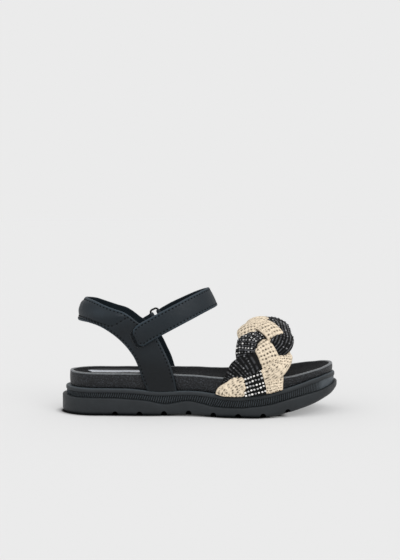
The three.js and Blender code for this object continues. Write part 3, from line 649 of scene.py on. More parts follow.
def leather():
    base = tuple(colours().leather)
    made = Finish("smooth_leather", base, 0.5, specular_ior_level=0.25)
    # Darker towards the bottom of the quarters, a painted shade, mixed with a slow random mottle
    low_shade_and_mottle = made.sum(made.risen(20, 95), made.noise(14, detail=5), 0.5)
    made.tinted(low_shade_and_mottle, (0.35, darker(base, 0.8)), (0.75, darker(base, 1.9)), (1.0, darker(base, 2.7)))
    made.glossed(made.noise(1.2), (0.3, 0.42), (0.7, 0.56))
    grain = made.sum(made.cells(0.55), made.noise(0.25), 0.4)
    made.bumped(grain, 0.06)
    made.bumped(made.noise(6, detail=2), 0.35)
    return made.material


def lining():
    base = darker(tuple(colours().leather), 0.8)
    made = Finish("soft_lining", base, 0.85, specular_ior_level=0.1)
    made.coloured(made.noise(5), (0.3, darker(base, 0.8)), (0.7, darker(base, 1.3)))
    made.bumped(made.noise(0.35, detail=3), 0.1)
    return made.material


def cover():
    base = tuple(colours().cover)
    made = Finish("grained_cover", base, 0.42, specular_ior_level=0.3)
    specks = (0.36, darker(base, 0.5)), (0.52, darker(base, 0.9)), (0.64, darker(base, 4.0))
    made.coloured(made.noise(1.1), *specks)
    made.glossed(made.noise(0.8), (0.3, 0.34), (0.7, 0.6))
    made.bumped(made.sum(made.cells(0.9), made.noise(0.5), 0.8), 0.35)
    return made.material


def rim():
    # A lighter copy of the cover: a painted highlight along its rounded top edge
    base = tuple(colours().rim)
    made = Finish("cover_rim_highlight", base, 0.4, specular_ior_level=0.5)
    made.coloured(made.noise(1.5), (0.3, darker(base, 0.9)), (0.7, darker(base, 1.7)))
    made.bumped(made.cells(0.8), 0.15)
    return made.material


def sock():
    base = tuple(colours().sock)
    made = Finish("insole_sock", base, 0.8, specular_ior_level=0.06)
    made.coloured(made.noise(4), (0.3, darker(base, 0.8)), (0.7, darker(base, 1.4)))
    made.bumped(made.sum(made.cells(0.7), made.noise(0.4), 0.6), 0.2)
    return made.material


def glossy_patch():
    base = darker(tuple(colours().sock), 1.4)
    made = Finish("glossy_heel_patch", base, 0.25, specular_ior_level=0.1)
    # Light bands along the sole, one of them a little inward from the middle:
    # painted highlights in the colour, which also make those bands glossier
    bands = made.node("ShaderNodeTexWave", bands_direction="Y")
    bands.inputs["Scale"].default_value = 11.0
    bands.inputs["Distortion"].default_value = 0.3
    bands.inputs["Phase Offset"].default_value = 1.8
    made.join(made.where, bands.inputs["Vector"])
    made.glossed(bands.outputs["Fac"], (0.65, 0.6), (0.85, 0.15))
    light = (0.65, darker(base, 1.6)), (0.8, darker(base, 9)), (0.95, darker(base, 36))
    made.coloured(bands.outputs["Fac"], *light)
    made.bumped(made.noise(6, detail=2), 0.2)
    return made.material


def raffia():
    base, hole = tuple(colours().raffia), tuple(colours().hole)
    made = Finish("natural_raffia", base, 0.75, specular_ior_level=0.15)
    straw = made.node("ShaderNodeMix", data_type="RGBA")
    tint = made.ramp(
        made.noise(1.6, detail=5),
        (0.25, darker(base, 0.7)),
        (0.48, base),
        (0.75, darker(base, 1.16)),
    )
    made.join(tint, straw.inputs["A"])
    straw.inputs["B"].default_value = hole
    # The points' shade mixes in the dark hole colour, a painted shade in the holes and between the rows; the
    # cells add dark specks at random
    specks = made.ramp(made.cells(1.7), (0.12, 0.75), (0.3, 0.0))
    most = made.node("ShaderNodeMath", operation="MAXIMUM")
    made.join(made.shade(), most.inputs[0])
    made.join(specks, most.inputs[1])
    made.join(most.outputs["Value"], straw.inputs["Factor"])
    made.join(straw.outputs["Result"], made.surface.inputs["Base Color"])
    made.bumped(made.noise(0.3, detail=4), 0.14)
    return made.material


def straw():
    base = tuple(colours().straw)
    made = Finish("black_straw", base, 0.6, specular_ior_level=0.12)
    # The points' shade lifts the ridge tops from near black to grey and lighter: a painted highlight on the
    # black straw
    made.coloured(
        made.shade(),
        (0.0, darker(base, 0.015)),
        (0.25, darker(base, 0.09)),
        (0.6, darker(base, 0.8)),
        (1.0, darker(base, 1.9)),
    )
    made.bumped(made.noise(0.35, detail=4), 0.15)
    return made.material


def bead():
    bright = tuple(colours().bead)
    made = Finish("silver_bead", bright, 0.3, specular_ior_level=0.7)
    # Each bead's shade picks its brightness from dark grey to the bright colour: a painted reflection
    made.coloured(made.shade(), (0.0, tone(30, 31, 34)), (0.45, tone(120, 121, 124)), (1.0, bright))
    return made.material


def thread():
    made = Finish("sewing_thread", tuple(colours().thread), 0.7, specular_ior_level=0.15)
    made.bumped(made.noise(0.25), 0.06)
    return made.material


def pile():
    base = darker(tuple(colours().leather), 0.6)
    made = Finish("fastening_pile", base, 0.95, specular_ior_level=0.2, sheen_weight=0.3)
    made.bumped(made.noise(0.4, detail=6), 0.5)
    return made.material


def enamel():
    made = Finish("black_enamel", tone(6, 7, 8), 0.35, specular_ior_level=0.35)
    made.bumped(made.noise(1.5), 0.02)
    return made.material


FINISHES = {
    "rubber": rubber,
    "groove": groove,
    "leather": leather,
    "lining": lining,
    "cover": cover,
    "rim": rim,
    "sock": sock,
    "glossy_patch": glossy_patch,
    "raffia": raffia,
    "straw": straw,
    "bead": bead,
    "thread": thread,
    "pile": pile,
    "enamel": enamel,
}


# Sole pieces
def make_outsole():
    run = SOLE.runs(220)
    rings = []
    for sine, cosine in arc(7):
        inset = LOWER_EDGE * (1 - sine)
        rings.append(ring(run, level(inset), raised(bottom_height, LOWER_EDGE * (1 - cosine))))
    middle = lambda x: mix(bottom_height(x) + LOWER_EDGE, ledge_height(x) - UPPER_EDGE, 0.5)
    rings.append(ring(run, level(0), middle))
    for sine, cosine in arc(5):
        inset = UPPER_EDGE * (1 - cosine)
        rings.append(ring(run, level(inset), raised(ledge_height, -UPPER_EDGE * (1 - sine))))
    piece = layered("outsole_rubber", rings, [finish_of("rubber")], crease=40)
    points, faces = [], []
    around = np.linspace(0, 2 * np.pi, 28, endpoint=False)
    for number in range(GROOVE_COUNT):
        x = FIRST_GROOVE + number * GROOVE_PITCH - LENGTH / 2
        width, height = GROOVE_WIDTH / 2 * np.cos(around), GROOVE_HEIGHT * np.sin(around)
        section = np.column_stack([x + width, bottom_height(x) + height])
        for side in (OUTER, INNER):
            first = len(points)
            deep = float(wall_reach(side, x) + wall_inset(x)) - GROOVE_DEPTH
            ends = sorted((side * BALL_WIDTH, side * deep))
            for y in ends:
                points += [(p[0], y, p[1]) for p in section]
            last = first + len(around)
            faces += [f[::-1] for f in grid_faces(2, len(around), closed=True, first=first)]
            faces += [list(range(first, last)), list(range(last + len(around) - 1, last - 1, -1))]
    # The bars pass their near black finish to the cut faces, a painted shade inside the grooves
    bars = mesh_piece("groove_bars", points, faces, [finish_of("groove")])
    cutter = piece.modifiers.new("grooves", "BOOLEAN")
    cutter.object, cutter.operation, cutter.solver = bars, "DIFFERENCE", "EXACT"
    cutter.material_mode = "TRANSFER"
    shown = bpy.data.meshes.new_from_object(piece.evaluated_get(bpy.context.evaluated_depsgraph_get()))
    piece.modifiers.clear()
    piece.data = shown
    bpy.data.objects.remove(bars)
    shown.shade_smooth()
    shown.set_sharp_from_angle(angle=math.radians(40))
    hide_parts("outsole")


def make_rand():
    pitch, depth = sizes().rib_pitch / MM, sizes().rib_depth / MM
    points_a_rib = 6
    ribs = round(SOLE.toe / pitch)
    run = SOLE.runs(ribs * points_a_rib)
    phase = np.tile(np.arange(points_a_rib) / points_a_rib, 2 * ribs)
    valley = depth * (0.5 - 0.5 * np.cos(2 * np.pi * phase)) ** 0.7
    point, _ = SOLE.at(run)
    valley = valley * (1 - smooth(88, 98, point[:, 0]))
    middle = rand_height(point[:, 0]) - BAND_HEIGHT
    slope = np.gradient(middle, run)
    floor_height = raised(ledge_height, CLEARANCE)
    strip_top = raised(rand_height, -BAND_HEIGHT)
    strip_inset = raised(band_inset, STRIP_INSET)
    rings = [ring(run, raised(strip_inset, 2 * depth), floor_height)]
    tall = middle - floor_height(point[:, 0])
    for share in (0.0, 0.3, 0.65, 1.0):
        lean = run + (slope - RIB_LEAN) * tall * (0.5 - share)
        there, out = SOLE.at(lean)
        inset = strip_inset(there[:, 0]) + valley
        flat = there - out * inset[:, None]
        rings.append(np.column_stack([flat, mix(floor_height(flat[:, 0]), strip_top(flat[:, 0]), share)]))
    rings.append(ring(run, raised(strip_inset, -0.1), raised(strip_top, 0.05)))
    for sine, cosine in arc(4):
        inset = raised(band_inset, STRIP_INSET * (1 - sine))
        rings.append(ring(run, inset, raised(strip_top, BAND_UNDER * (1 - cosine))))
    for sine, cosine in arc(6):
        inset = raised(band_inset, BAND_EDGE * (1 - cosine))
        rings.append(ring(run, inset, raised(rand_height, -BAND_EDGE * (1 - sine))))
    # Painted shade and highlights: the strip is darker in the rib valleys and lighter on the rib tops, the
    # band a little lighter, and a painted highlight runs along the band's top edge
    shade = np.full((len(rings), len(run)), 0.5)
    shade[:5] = 1.0 - 1.0 * valley / depth
    shade[-6:] = 0.56
    shade[-3:] = 0.9
    piece = layered("rand_rubber", rings, [finish_of("rubber")], shade=shade, crease=60)
    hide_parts("rand")


def inner_edge(x):
    return wall_inset(x) + RIM_WIDTH


def bed_height(depth):
    return lambda x: rim_height(x) - RECESS - depth


def make_footbed():
    run = SOLE.runs(220)
    rings = []
    low, high = raised(rand_height, CLEARANCE + RIM_EDGE), raised(rim_height, -RIM_EDGE)
    for sine, cosine in arc(5):
        inset = raised(wall_inset, RIM_EDGE * (1 - sine))
        rings.append(ring(run, inset, raised(rand_height, CLEARANCE + RIM_EDGE * (1 - cosine))))
    for share in (0.25, 0.5, 0.75):
        inset = raised(wall_inset, -WALL_SWELL * math.sin(math.pi * share))
        rings.append(ring(run, inset, lambda x, t=share: mix(low(x), high(x), t)))
    wall = len(rings)
    for sine, cosine in arc(6):
        inset = raised(wall_inset, RIM_EDGE * (1 - cosine))
        rings.append(ring(run, inset, raised(rim_height, -RIM_EDGE * (1 - sine))))
    rings.append(ring(run, inner_edge, rim_height))
    edge = len(rings)
    rings.append(ring(run, raised(inner_edge, RIM_DRAFT), raised(rim_height, -0.3)))
    for inset, depth in (
        (RIM_DRAFT, 0),
        (CUP_SLOPE, CUP_DEPTH * CUP_SHARE),
        (2 * CUP_SLOPE, CUP_DEPTH),
    ):
        rings.append(ring(run, raised(inner_edge, inset), bed_height(depth)))
    # The rounded top edge takes the lighter rim finish, a painted highlight
    slots = [1 if wall <= i < edge else 0 for i in range(len(rings) - 1)]
    piece = layered("footbed_cover", rings, [finish_of("cover"), finish_of("rim")], slots=slots)
    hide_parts("footbed")


def sock_height(x, inset):
    """Height of the insole's top where it lies inset from the outline, beyond the rim's inner edge."""
    share = np.interp(inset, [0, CUP_SLOPE, 2 * CUP_SLOPE], [0, CUP_SHARE, 1])
    return rim_height(x) - RECESS - CUP_DEPTH * share + CLEARANCE + INSOLE_THICKNESS


def make_heel_patch():
    """The glossy bare patch at the insole's heel."""
    length, across = np.sin(np.linspace(-1.5, 1.5, 61)), np.linspace(-1, 1, 31)
    rows = []
    for at in length:
        x = mix(GLOSS_BACK, GLOSS_FRONT, (at + 1) / 2)
        wall = min(float(wall_reach(side, x)) for side in (OUTER, INNER))
        half = (wall - RIM_WIDTH - RIM_DRAFT - GLOSS_MARGIN) * (1 - abs(at) ** 4) ** 0.25
        y = across * half
        side = np.where(y < 0, OUTER, INNER)
        inset = np.maximum(wall_reach(side, x) - RIM_WIDTH - np.abs(y), 0)
        rows.append(np.stack([0 * y + x, y, sock_height(x, inset) + GLOSS_LIFT], -1))
    materials = [finish_of("glossy_patch"), finish_of("lining")]
    piece = Band(rows).solid("glossy_heel_patch", GLOSS_THICKNESS, materials, steps=31)


def make_insole():
    run = SOLE.runs(220)
    edge = RIM_DRAFT + CLEARANCE
    top, under = CLEARANCE + INSOLE_THICKNESS, CLEARANCE
    steps = (edge + 0.4, 2.5, 5, CUP_SLOPE, 11, 13.5, 2 * CUP_SLOPE)
    rings = []
    for inset, depth, lift in (
        (2 * CUP_SLOPE, CUP_DEPTH, under),
        (CUP_SLOPE, CUP_DEPTH * CUP_SHARE, under),
        (edge, 0, under),
        (edge, 0, top - 0.4),
    ):
        rings.append(ring(run, raised(inner_edge, inset), raised(bed_height(depth), lift)))
    for inset in steps:
        rings.append(ring(run, raised(inner_edge, inset), lambda x, i=inset: sock_height(x, i)))
    piece = layered("insole_sock", rings, [finish_of("sock")])
    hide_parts("insole")


# Bands: walls with a middle surface, a thickness and round edges
class Band:
    """A wall through rows of points across it, all with as many points."""

    def __init__(self, rows, turned=False):
        self.rows = np.asarray(rows, float)
        self.turned = turned
        run = np.gradient(self.rows, axis=0)
        across = np.gradient(self.rows, axis=1)
        self.normals = unit(np.cross(across, run) if turned else np.cross(run, across))
        middle = self.rows[:, self.rows.shape[1] // 2]
        self.run = np.concatenate([[0], np.cumsum(np.linalg.norm(np.diff(middle, axis=0), axis=1))])
        self.half = np.linalg.norm(np.diff(self.rows, axis=1), axis=2).sum(axis=1) / 2
        self.columns = self.rows.shape[1]

    def spread(self, grid, row, share):
        """Values of a grid at whole rows and at shares across them, -1 to 1."""
        at = np.clip((share + 1) / 2 * (self.columns - 1), 0, self.columns - 1 - 1e-9)
        j = at.astype(int)
        t = (at - j)[..., None]
        return grid[row, j] * (1 - t) + grid[row, j + 1] * t

    def place(self, run, aside):
        """The point and the normal at distances along the band and to the side of its middle."""
        run, aside = np.asarray(run, float), np.asarray(aside, float)
        at = np.interp(run, self.run, np.arange(len(self.run)))
        i = np.clip(at.astype(int), 0, len(self.run) - 2)
        t = (at - i)[..., None]
        half = np.interp(run, self.run, self.half)
        share = np.clip(aside / np.maximum(half, 1e-6), -1, 1)
        point, normal = (
            self.spread(grid, i, share) * (1 - t) + self.spread(grid, i + 1, share) * t
            for grid in (self.rows, self.normals)
        )
        return point, unit(normal)

    def solid(
        self, name, thickness, materials, relief=None, round_start=True, round_end=True, trim=None, steps=40
    ):
        """The wall as a piece with round edges. relief(run, aside, half) lifts its outer face."""
        radius = thickness / 2
        share_edge = np.minimum(radius / np.maximum(self.half, 1e-6), 0.98)[:, None]
        face = np.linspace(-1, 1, steps)
        turn = np.linspace(np.pi / 2, -np.pi / 2, 9)[1:-1]
        back = np.linspace(1, -1, steps // 2)
        base = np.concatenate([face, np.ones(len(turn)), back, -np.ones(len(turn))])
        reach = np.concatenate([0 * face, np.cos(turn), 0 * back, -np.cos(turn)])
        lift = np.concatenate([0 * face + 1, np.sin(turn), 0 * back - 1, -np.sin(turn)])
        share = base[None] * (1 - share_edge) + reach[None] * share_edge
        row = np.broadcast_to(np.arange(len(self.rows))[:, None], share.shape)
        points, normals = self.spread(self.rows, row, share), unit(self.spread(self.normals, row, share))
        ends = np.ones(len(self.run))
        for use, distance in ((round_start, self.run), (round_end, self.run[-1] - self.run)):
            if use:
                ends *= np.sqrt(1 - np.clip(1 - distance / radius, 0, 1) ** 2)
        offset = radius * lift[None] * ends[:, None]
        shade = np.full(share.shape, 0.5)
        if relief is not None:
            outer, shade = relief(self.run[:, None], share * self.half[:, None], self.half[:, None])
            offset = offset + outer * np.clip(lift, 0, 1)[None] * ends[:, None]
            shade = np.where(lift[None] < -0.1, 0.5, shade)
        made = points + normals * offset[..., None]
        if trim is not None:
            made = trim(made)
        loop = made.shape[1]
        faces = grid_faces(len(made), loop, closed=True)
        slots = np.tile(np.where((lift < -0.5), 1, 0), len(made) - 1)
        for first, up in ((0, True), ((len(made) - 1) * loop, False)):
            cap = list(range(first, first + loop))
            faces.append(cap[::-1] if up else cap)
            slots = np.append(slots, 0)
        if not self.turned:
            faces = [f[::-1] for f in faces]
        return mesh_piece(name, made.reshape(-1, 3), faces, materials, shade=shade, slots=slots, crease=60)


def refined(rows, times):
    """Rows of points with smooth curves through them."""
    rows = np.asarray(rows, float)
    before, after = 2 * rows[0] - rows[1], 2 * rows[-1] - rows[-2]
    padded = np.concatenate([before[None], rows, after[None]])
    made = []
    for i in range(len(rows) - 1):
        a, b, c, d = padded[i : i + 4]
        for t in np.arange(times) / times:
            curve = 2 * b + (c - a) * t + (2 * a - 5 * b + 4 * c - d) * t**2
            made.append(0.5 * (curve + (3 * b - a - 3 * c + d) * t**3))
    made.append(rows[-1])
    return np.array(made)


# The lower seam of the heel strap's padded panel, at lengths along the quarters' band
PANEL = table(
    "at seam",
    (64.5, -3.6),
    (66.5, -6.2),
    (73.5, -7.0),
    (81.0, -6.8),
    (93.5, -6.1),
    (119.8, -6.1),
    (132.3, -6.8),
    (139.8, -7.0),
    (146.8, -6.2),
    (148.8, -3.6),
)
PANEL_START = PANEL["at"][0]
BACK_SEAM = 9.0

SEAT_HEIGHT = float(rand_height(place_of(SEAT_SHARE)))
HEEL_START = place_of(HEEL_TURN)
TAB_END = place_of(TAB_SHARE)
INSTEP_START = place_of(INSTEP_TURN)
INSTEP_TIP = place_of(INSTEP_FRONT)


def rise_of(share):
    return SEAT_HEIGHT + UPPER_HEIGHT * share


def ankle_half(z):
    return ANKLE_HALF - ANKLE_TAPER * ((z - SEAT_HEIGHT) / UPPER_HEIGHT - 0.5)


def heel_back(z):
    low, high = QUARTER["rearRise"][-1], QUARTER["frontRise"][-1]
    t = np.clip(((z - SEAT_HEIGHT) / UPPER_HEIGHT - low) / (high - low), 0, 1)
    return place_of(mix(HEEL_BACK_LOW, HEEL_BACK_HIGH, t))


def quarter_point(side, x, z):
    """The middle of the quarters' wall."""
    seat = wall_reach(side, x) + CLEARANCE + QUARTER_THICKNESS / 2
    turn = np.clip((HEEL_START - x) / (HEEL_START - heel_back(z)), 0, 1)
    ankle = ankle_half(z) * (1 - turn**2) ** HEEL_POWER
    drawn = smooth(rim_height(x) + WALL_RISE, rise_of(ANKLE_SHARE), z)
    return np.stack([x, side * mix(seat, ankle, drawn), z], -1)


STRAP_ACROSS = np.array([-math.sin(STRAP_TILT), 0, math.cos(STRAP_TILT)])
STRAP_ALONG = np.array([math.cos(STRAP_TILT), 0, math.sin(STRAP_TILT)])
ON_QUARTER = QUARTER_THICKNESS / 2 + CLEARANCE
TAB_LIFT = ON_QUARTER + PATCH_THICKNESS + CLEARANCE + STRAP_THICKNESS / 2


def strap_height(x):
    return rise_of(along(STRAP_LINE, "rise", share_of(x)))


EYE_RADIUS = WIRE / 2 + CLEARANCE + EYE_WALL
BAR_REACH = (RING_WIDTH - WIRE) / 2
RING_X = place_of(RING_SHARE)
RING_Z = float(strap_height(RING_X))
RING_Y = ankle_half(RING_Z) + ON_QUARTER + CLEARANCE + EYE_RADIUS
RING_MIDDLE = np.array([RING_X, RING_Y, RING_Z])
FRONT_BAR = RING_MIDDLE + STRAP_ALONG * BAR_REACH
REAR_BAR = RING_MIDDLE - STRAP_ALONG * BAR_REACH


def band_line(side, x, y, z, half, columns=25):
    """A line across a band that lies round the ankle."""
    lean = -(ANKLE_TAPER / UPPER_HEIGHT) * STRAP_ACROSS[2] if y > 0 else 0
    across = np.linspace(-1, 1, columns) * half
    points = np.stack([0 * across + x, side * (y + lean * across), 0 * across + z], -1)
    return points + across[:, None] * STRAP_ACROSS


def rounded_half(half, distance, corner):
    left = max(0.0, corner - distance)
    return half - corner + math.sqrt(max(0.0, corner**2 - left**2))


def end_spacing(length, corner, steps=14, pitch=0.6):
    """Distances from a round end, close together where the corners are."""
    near = corner * (1 - np.cos(np.linspace(0, np.pi / 2, steps)))
    return np.concatenate([near, np.arange(corner + pitch, length, pitch), [length]])


def stitch_relief(inset, crown):
    """Sunk stitch lines along both edges of a band, with a soft crown between them
    and a painted highlight along its edges.
    """

    def relief(run, aside, half):
        from_line = half - np.abs(aside) - inset
        channel = np.exp(-((from_line / 0.6) ** 2))
        body = crown * np.clip(1 - (aside / np.maximum(half - inset, 1e-6)) ** 2, 0, 1)
        # The strip beyond each stitch line is lighter, a painted highlight on the band's rounded edge; the
        # stitch channel is a little lighter too
        shade = 0.5 + 0.08 * channel + 0.24 * smooth(0.4, 1.3, -from_line)
        return body - channel * 0.16, shade

    return relief


# One stitch: shares of its length, heights and thicknesses in thread radii
STITCH = (
    (-0.5, -0.9, 0.35),
    (-0.42, -0.2, 0.8),
    (-0.2, 0.35, 1.0),
    (0.2, 0.35, 1.0),
    (0.42, -0.2, 0.8),
    (0.5, -0.9, 0.35),
)


def followed(line, run, at):
    """The point of a line at a distance along it."""
    return np.array([np.interp(at, run, line[:, k]) for k in range(3)])


def stitched(name, lines, lift):
    """Stitches along lines of (points, normals), each sunk at its ends, as one piece."""
    pitch, length = sizes().stitch_pitch / MM, sizes().stitch_length / MM
    radius = sizes().thread / MM / 2
    around = np.linspace(0, 2 * np.pi, 6, endpoint=False)
    points, faces = [], []
    for line, normals in lines:
        run = np.concatenate([[0], np.cumsum(np.linalg.norm(np.diff(line, axis=0), axis=1))])
        count = max(1, int(run[-1] / pitch))
        step = run[-1] / count
        for number in range(count):
            middle = (number + 0.5) * step
            first = len(points)
            for at, up, size in STITCH:
                here = middle + at * length
                way = followed(line, run, here + 0.2) - followed(line, run, here - 0.2)
                normal = unit(followed(normals, run, here))
                side = unit(np.cross(unit(way), normal))
                core = followed(line, run, here) + normal * (lift + up * radius)
                for angle in around:
                    out = 1.1 * math.cos(angle) * side + 0.8 * math.sin(angle) * normal
                    points.append(core + radius * size * out)
            faces += grid_faces(len(STITCH), len(around), closed=True, first=first)
            faces.append(list(range(first + len(around) - 1, first - 1, -1)))
            last = first + (len(STITCH) - 1) * len(around)
            faces.append(list(range(last, last + len(around))))
    piece = mesh_piece(name, np.array(points), faces, [finish_of("thread")], crease=80)
    return piece


def edge_lines(band, inset, start, end):
    """Stitch lines along both edges of a band, on its outer face."""
    lines = []
    run = np.arange(start, end, 0.5)
    for side in (-1, 1):
        half = np.interp(run, band.run, band.half)
        lines.append(band.place(run, side * (half - inset)))
    return lines


def tab_line(band, inset, corner, half, end):
    """One stitch line along both edges of a band and round its round end."""
    reach = half - inset
    bend = corner - inset
    angles = np.linspace(0, np.pi / 2, 8)
    run = [np.arange(end, corner, -0.5)]
    aside = [0 * run[0] + reach]
    run.append(corner - bend * np.sin(angles))
    aside.append(half - corner + bend * np.cos(angles))
    flat = np.linspace(half - corner, corner - half, 12)[1:-1]
    run.append(0 * flat + inset)
    aside.append(flat)
    run.append(corner - bend * np.cos(angles))
    aside.append(corner - half - bend * np.sin(angles))
    run.append(np.arange(corner, end, 0.5))
    aside.append(0 * run[-1] - reach)
    return band.place(np.concatenate(run), np.concatenate(aside))


def quarter_band():
    columns = np.linspace(0, 1, 25)
    halves = {}
    for side in (OUTER, INNER):
        rows = []
        for k in range(len(QUARTER["front"])):
            x = place_of(mix(QUARTER["rear"][k], QUARTER["front"][k], columns))
            z = rise_of(mix(QUARTER["rearRise"][k], QUARTER["frontRise"][k], columns))
            rows.append(quarter_point(side, x, z))
        halves[side] = rows
    halves[OUTER][-1][:, 1] = 0
    return Band(refined(halves[OUTER] + halves[INNER][-2::-1], 9), turned=True)


def heel_panel(run):
    """How far the heel strap's padded panel lies below the middle of the band: its seam."""
    return along(PANEL, "seam", run)


def make_quarters():
    band = quarter_band()
    inset = sizes().stitch_inset / MM
    ends = band.rows.shape[0]
    edges = stitch_relief(inset, 0.15)
    far_end = band.run[-1] - PANEL_START

    def relief(run, aside, half):
        lift, shade = edges(run, aside, half)
        padded = smooth(PANEL_START, PANEL_START + 5, run) * (1 - smooth(far_end - 5, far_end, run))
        low, high = aside - heel_panel(run), half - inset - aside
        swell = np.clip(low / 5, 0, 1) * np.clip(high / 4, 0, 1)
        seam = np.exp(-((low / 0.6) ** 2)) * smooth(PANEL_START - 0.5, PANEL_START, run)
        front = np.exp(-(((run - PANEL_START) / 0.6) ** 2)) * smooth(-0.5, 0.5, low)
        line = np.maximum(seam * (run < far_end), front)
        wave = 0.5 * np.sin(run / 5.3 + aside / 4) * padded
        # Painted light on the heel strap: a soft painted highlight on the padded panel and painted shade by
        # the fold in front of it; the seam line is a little darker too
        painted_highlight = np.exp(-(((run - PANEL_START - 19) / 8) ** 2) - (((aside - 3) / 3.5) ** 2))
        fold = np.exp(-(((run - PANEL_START + 9) / 7) ** 2))
        tint = 0.07 * painted_highlight - 0.18 * fold - 0.08 * line
        return lift + (1.2 + wave) * padded * np.sin(np.pi / 2 * swell) - 0.35 * line, shade + tint

    def seated(points):
        for row in (0, ends - 1):
            points[row, :, 2] = rand_height(points[row, :, 0]) + CLEARANCE
        return points

    piece = band.solid(
        "quarters_and_heel_strap",
        QUARTER_THICKNESS,
        [finish_of("leather"), finish_of("lining")],
        relief=relief,
        round_start=False,
        round_end=False,
        trim=seated,
    )
    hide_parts("ankle_quarters")
    lift = QUARTER_THICKNESS / 2 - STITCH_SINK
    lines = edge_lines(band, inset, 6, band.run[-1] - 6)
    seam = np.arange(PANEL_START, far_end, 0.5)
    lines.append(band.place(seam, heel_panel(seam)))
    top = float(np.interp(PANEL_START, band.run, band.half)) - inset
    climb = np.arange(heel_panel(PANEL_START) + 1, top, 0.5)
    for run in (PANEL_START, far_end):
        lines.append(band.place(0 * climb + run, climb))
    back = band.run[-1] / 2
    full = float(np.interp(back, band.run, band.half)) - inset - 1.5
    upright = np.arange(-full, full, 0.5)
    for run in (back - BACK_SEAM, back + BACK_SEAM):
        lines.append(band.place(0 * upright + run, upright))
    stitched("quarter_stitches", lines, lift)


def instep_rows():
    half = STRAP_WIDTH / 2
    rows = []
    for distance in end_spacing(INSTEP_START - TAB_END, TAB_CORNER)[:-1]:
        x = TAB_END + distance
        z = float(strap_height(x))
        width = rounded_half(half, distance, TAB_CORNER)
        rows.append(band_line(OUTER, x, ankle_half(z) + TAB_LIFT, z, width))
    for turn in np.linspace(0, 2, 161):
        side = OUTER if turn <= 1 else INNER
        angle = math.pi / 2 * (1 - abs(turn - 1))
        x = mix(INSTEP_START, INSTEP_TIP, math.sin(angle))
        z = float(strap_height(x))
        free = float(smooth(FRONT_BAR[0], FRONT_BAR[0] + RING_SETTLE, x))
        start = ankle_half(z) + TAB_LIFT if side == OUTER else mix(RING_Y, ankle_half(z) + ON_QUARTER, free)
        y = start * max(0.0, math.cos(angle)) ** FOLD_POWER
        width = half if turn < 1.85 else mix(half, EYE_LENGTH / 2, (turn - 1.85) / 0.15)
        rows.append(band_line(side, x, y if abs(turn - 1) > 1e-6 else 0.0, z, width))
    end = FRONT_BAR + STRAP_ALONG * BAND_IN_EYE
    rows.append(band_line(INNER, end[0], end[1], end[2], EYE_LENGTH / 2))
    return rows


def eye_at(name, middle, materials):
    """The folded end of a band round one of the ring's bars."""
    around = np.linspace(0, 2 * np.pi, 24, endpoint=False)
    hole = WIRE / 2 + CLEARANCE
    wall, half = (EYE_RADIUS - hole) / 2, EYE_LENGTH / 2
    square = np.cross(STRAP_ALONG, STRAP_ACROSS)
    profile = []
    for angle in np.linspace(0, 2 * np.pi, 20, endpoint=False):
        aside = math.copysign(abs(math.cos(angle)) ** 0.3, math.cos(angle)) * half
        profile.append((hole + wall + math.sin(angle) * wall, aside))
    points = [
        middle + reach * (math.cos(a) * STRAP_ALONG + math.sin(a) * square) + aside * STRAP_ACROSS
        for reach, aside in profile
        for a in around
    ]
    faces = [f[::-1] for f in wheel_faces(len(profile), len(around))]
    return mesh_piece(name, np.array(points), faces, materials, crease=80)


def joined(name, pieces):
    """Several pieces as one, named anew."""
    bpy.ops.object.select_all(action="DESELECT")
    for piece in pieces:
        piece.select_set(True)
    bpy.context.view_layer.objects.active = pieces[0]
    bpy.ops.object.join()
    pieces[0].name = name
    return pieces[0]


def make_instep_strap():
    band = Band(instep_rows())
    inset = sizes().stitch_inset / MM
    materials = [finish_of("leather"), finish_of("lining")]
    relief = stitch_relief(inset, 0.3)
    strap = band.solid("strap", STRAP_THICKNESS, materials, relief=relief, round_end=False)
    strap = joined("instep_strap_leather", [strap, eye_at("eye", FRONT_BAR, materials)])
    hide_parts("instep_strap")
    line = tab_line(band, inset, TAB_CORNER, STRAP_WIDTH / 2, band.run[-1] - 5)
    stitched("instep_stitches", [line], STRAP_THICKNESS / 2 - STITCH_SINK)


def make_ring_loop():
    rows = []
    for distance in end_spacing(LOOP_LENGTH - BAND_IN_EYE, TAB_CORNER):
        step = LOOP_LENGTH - distance
        x = REAR_BAR[0] - step
        z = float(strap_height(x))
        lie = ankle_half(z) + ON_QUARTER + EYE_WALL / 2
        y = mix(RING_Y, lie, float(smooth(0, LOOP_SETTLE, step)))
        rows.append(band_line(INNER, x, y, z, rounded_half(EYE_LENGTH / 2, distance, TAB_CORNER)))
    band = Band(rows[::-1])
    materials = [finish_of("leather"), finish_of("lining")]
    relief = stitch_relief(LOOP_CHANNEL, 0.1)
    loop = band.solid("loop", EYE_WALL, materials, relief=relief, round_start=False)
    loop = joined("ring_loop_leather", [loop, eye_at("loop_eye", REAR_BAR, materials)])
    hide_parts("ring_loop")


def make_patch():
    rear = TAB_END - PATCH_SHOWS
    rows = []
    for distance in end_spacing(PATCH_LENGTH, TAB_CORNER):
        x = rear + distance
        z = float(strap_height(x)) - PATCH_DROP
        lie = ankle_half(z) + ON_QUARTER + PATCH_THICKNESS / 2
        rows.append(band_line(OUTER, x, lie, z, rounded_half(PATCH_WIDTH / 2, distance, TAB_CORNER)))
    band = Band(rows)
    patch = band.solid("fastening_pile_patch", PATCH_THICKNESS, [finish_of("pile"), finish_of("lining")])
    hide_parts("fastening_patch")
    line = tab_line(band, 1.3, TAB_CORNER, PATCH_WIDTH / 2, 12)
    stitched("patch_stitches", [line], PATCH_THICKNESS / 2 - 0.1)


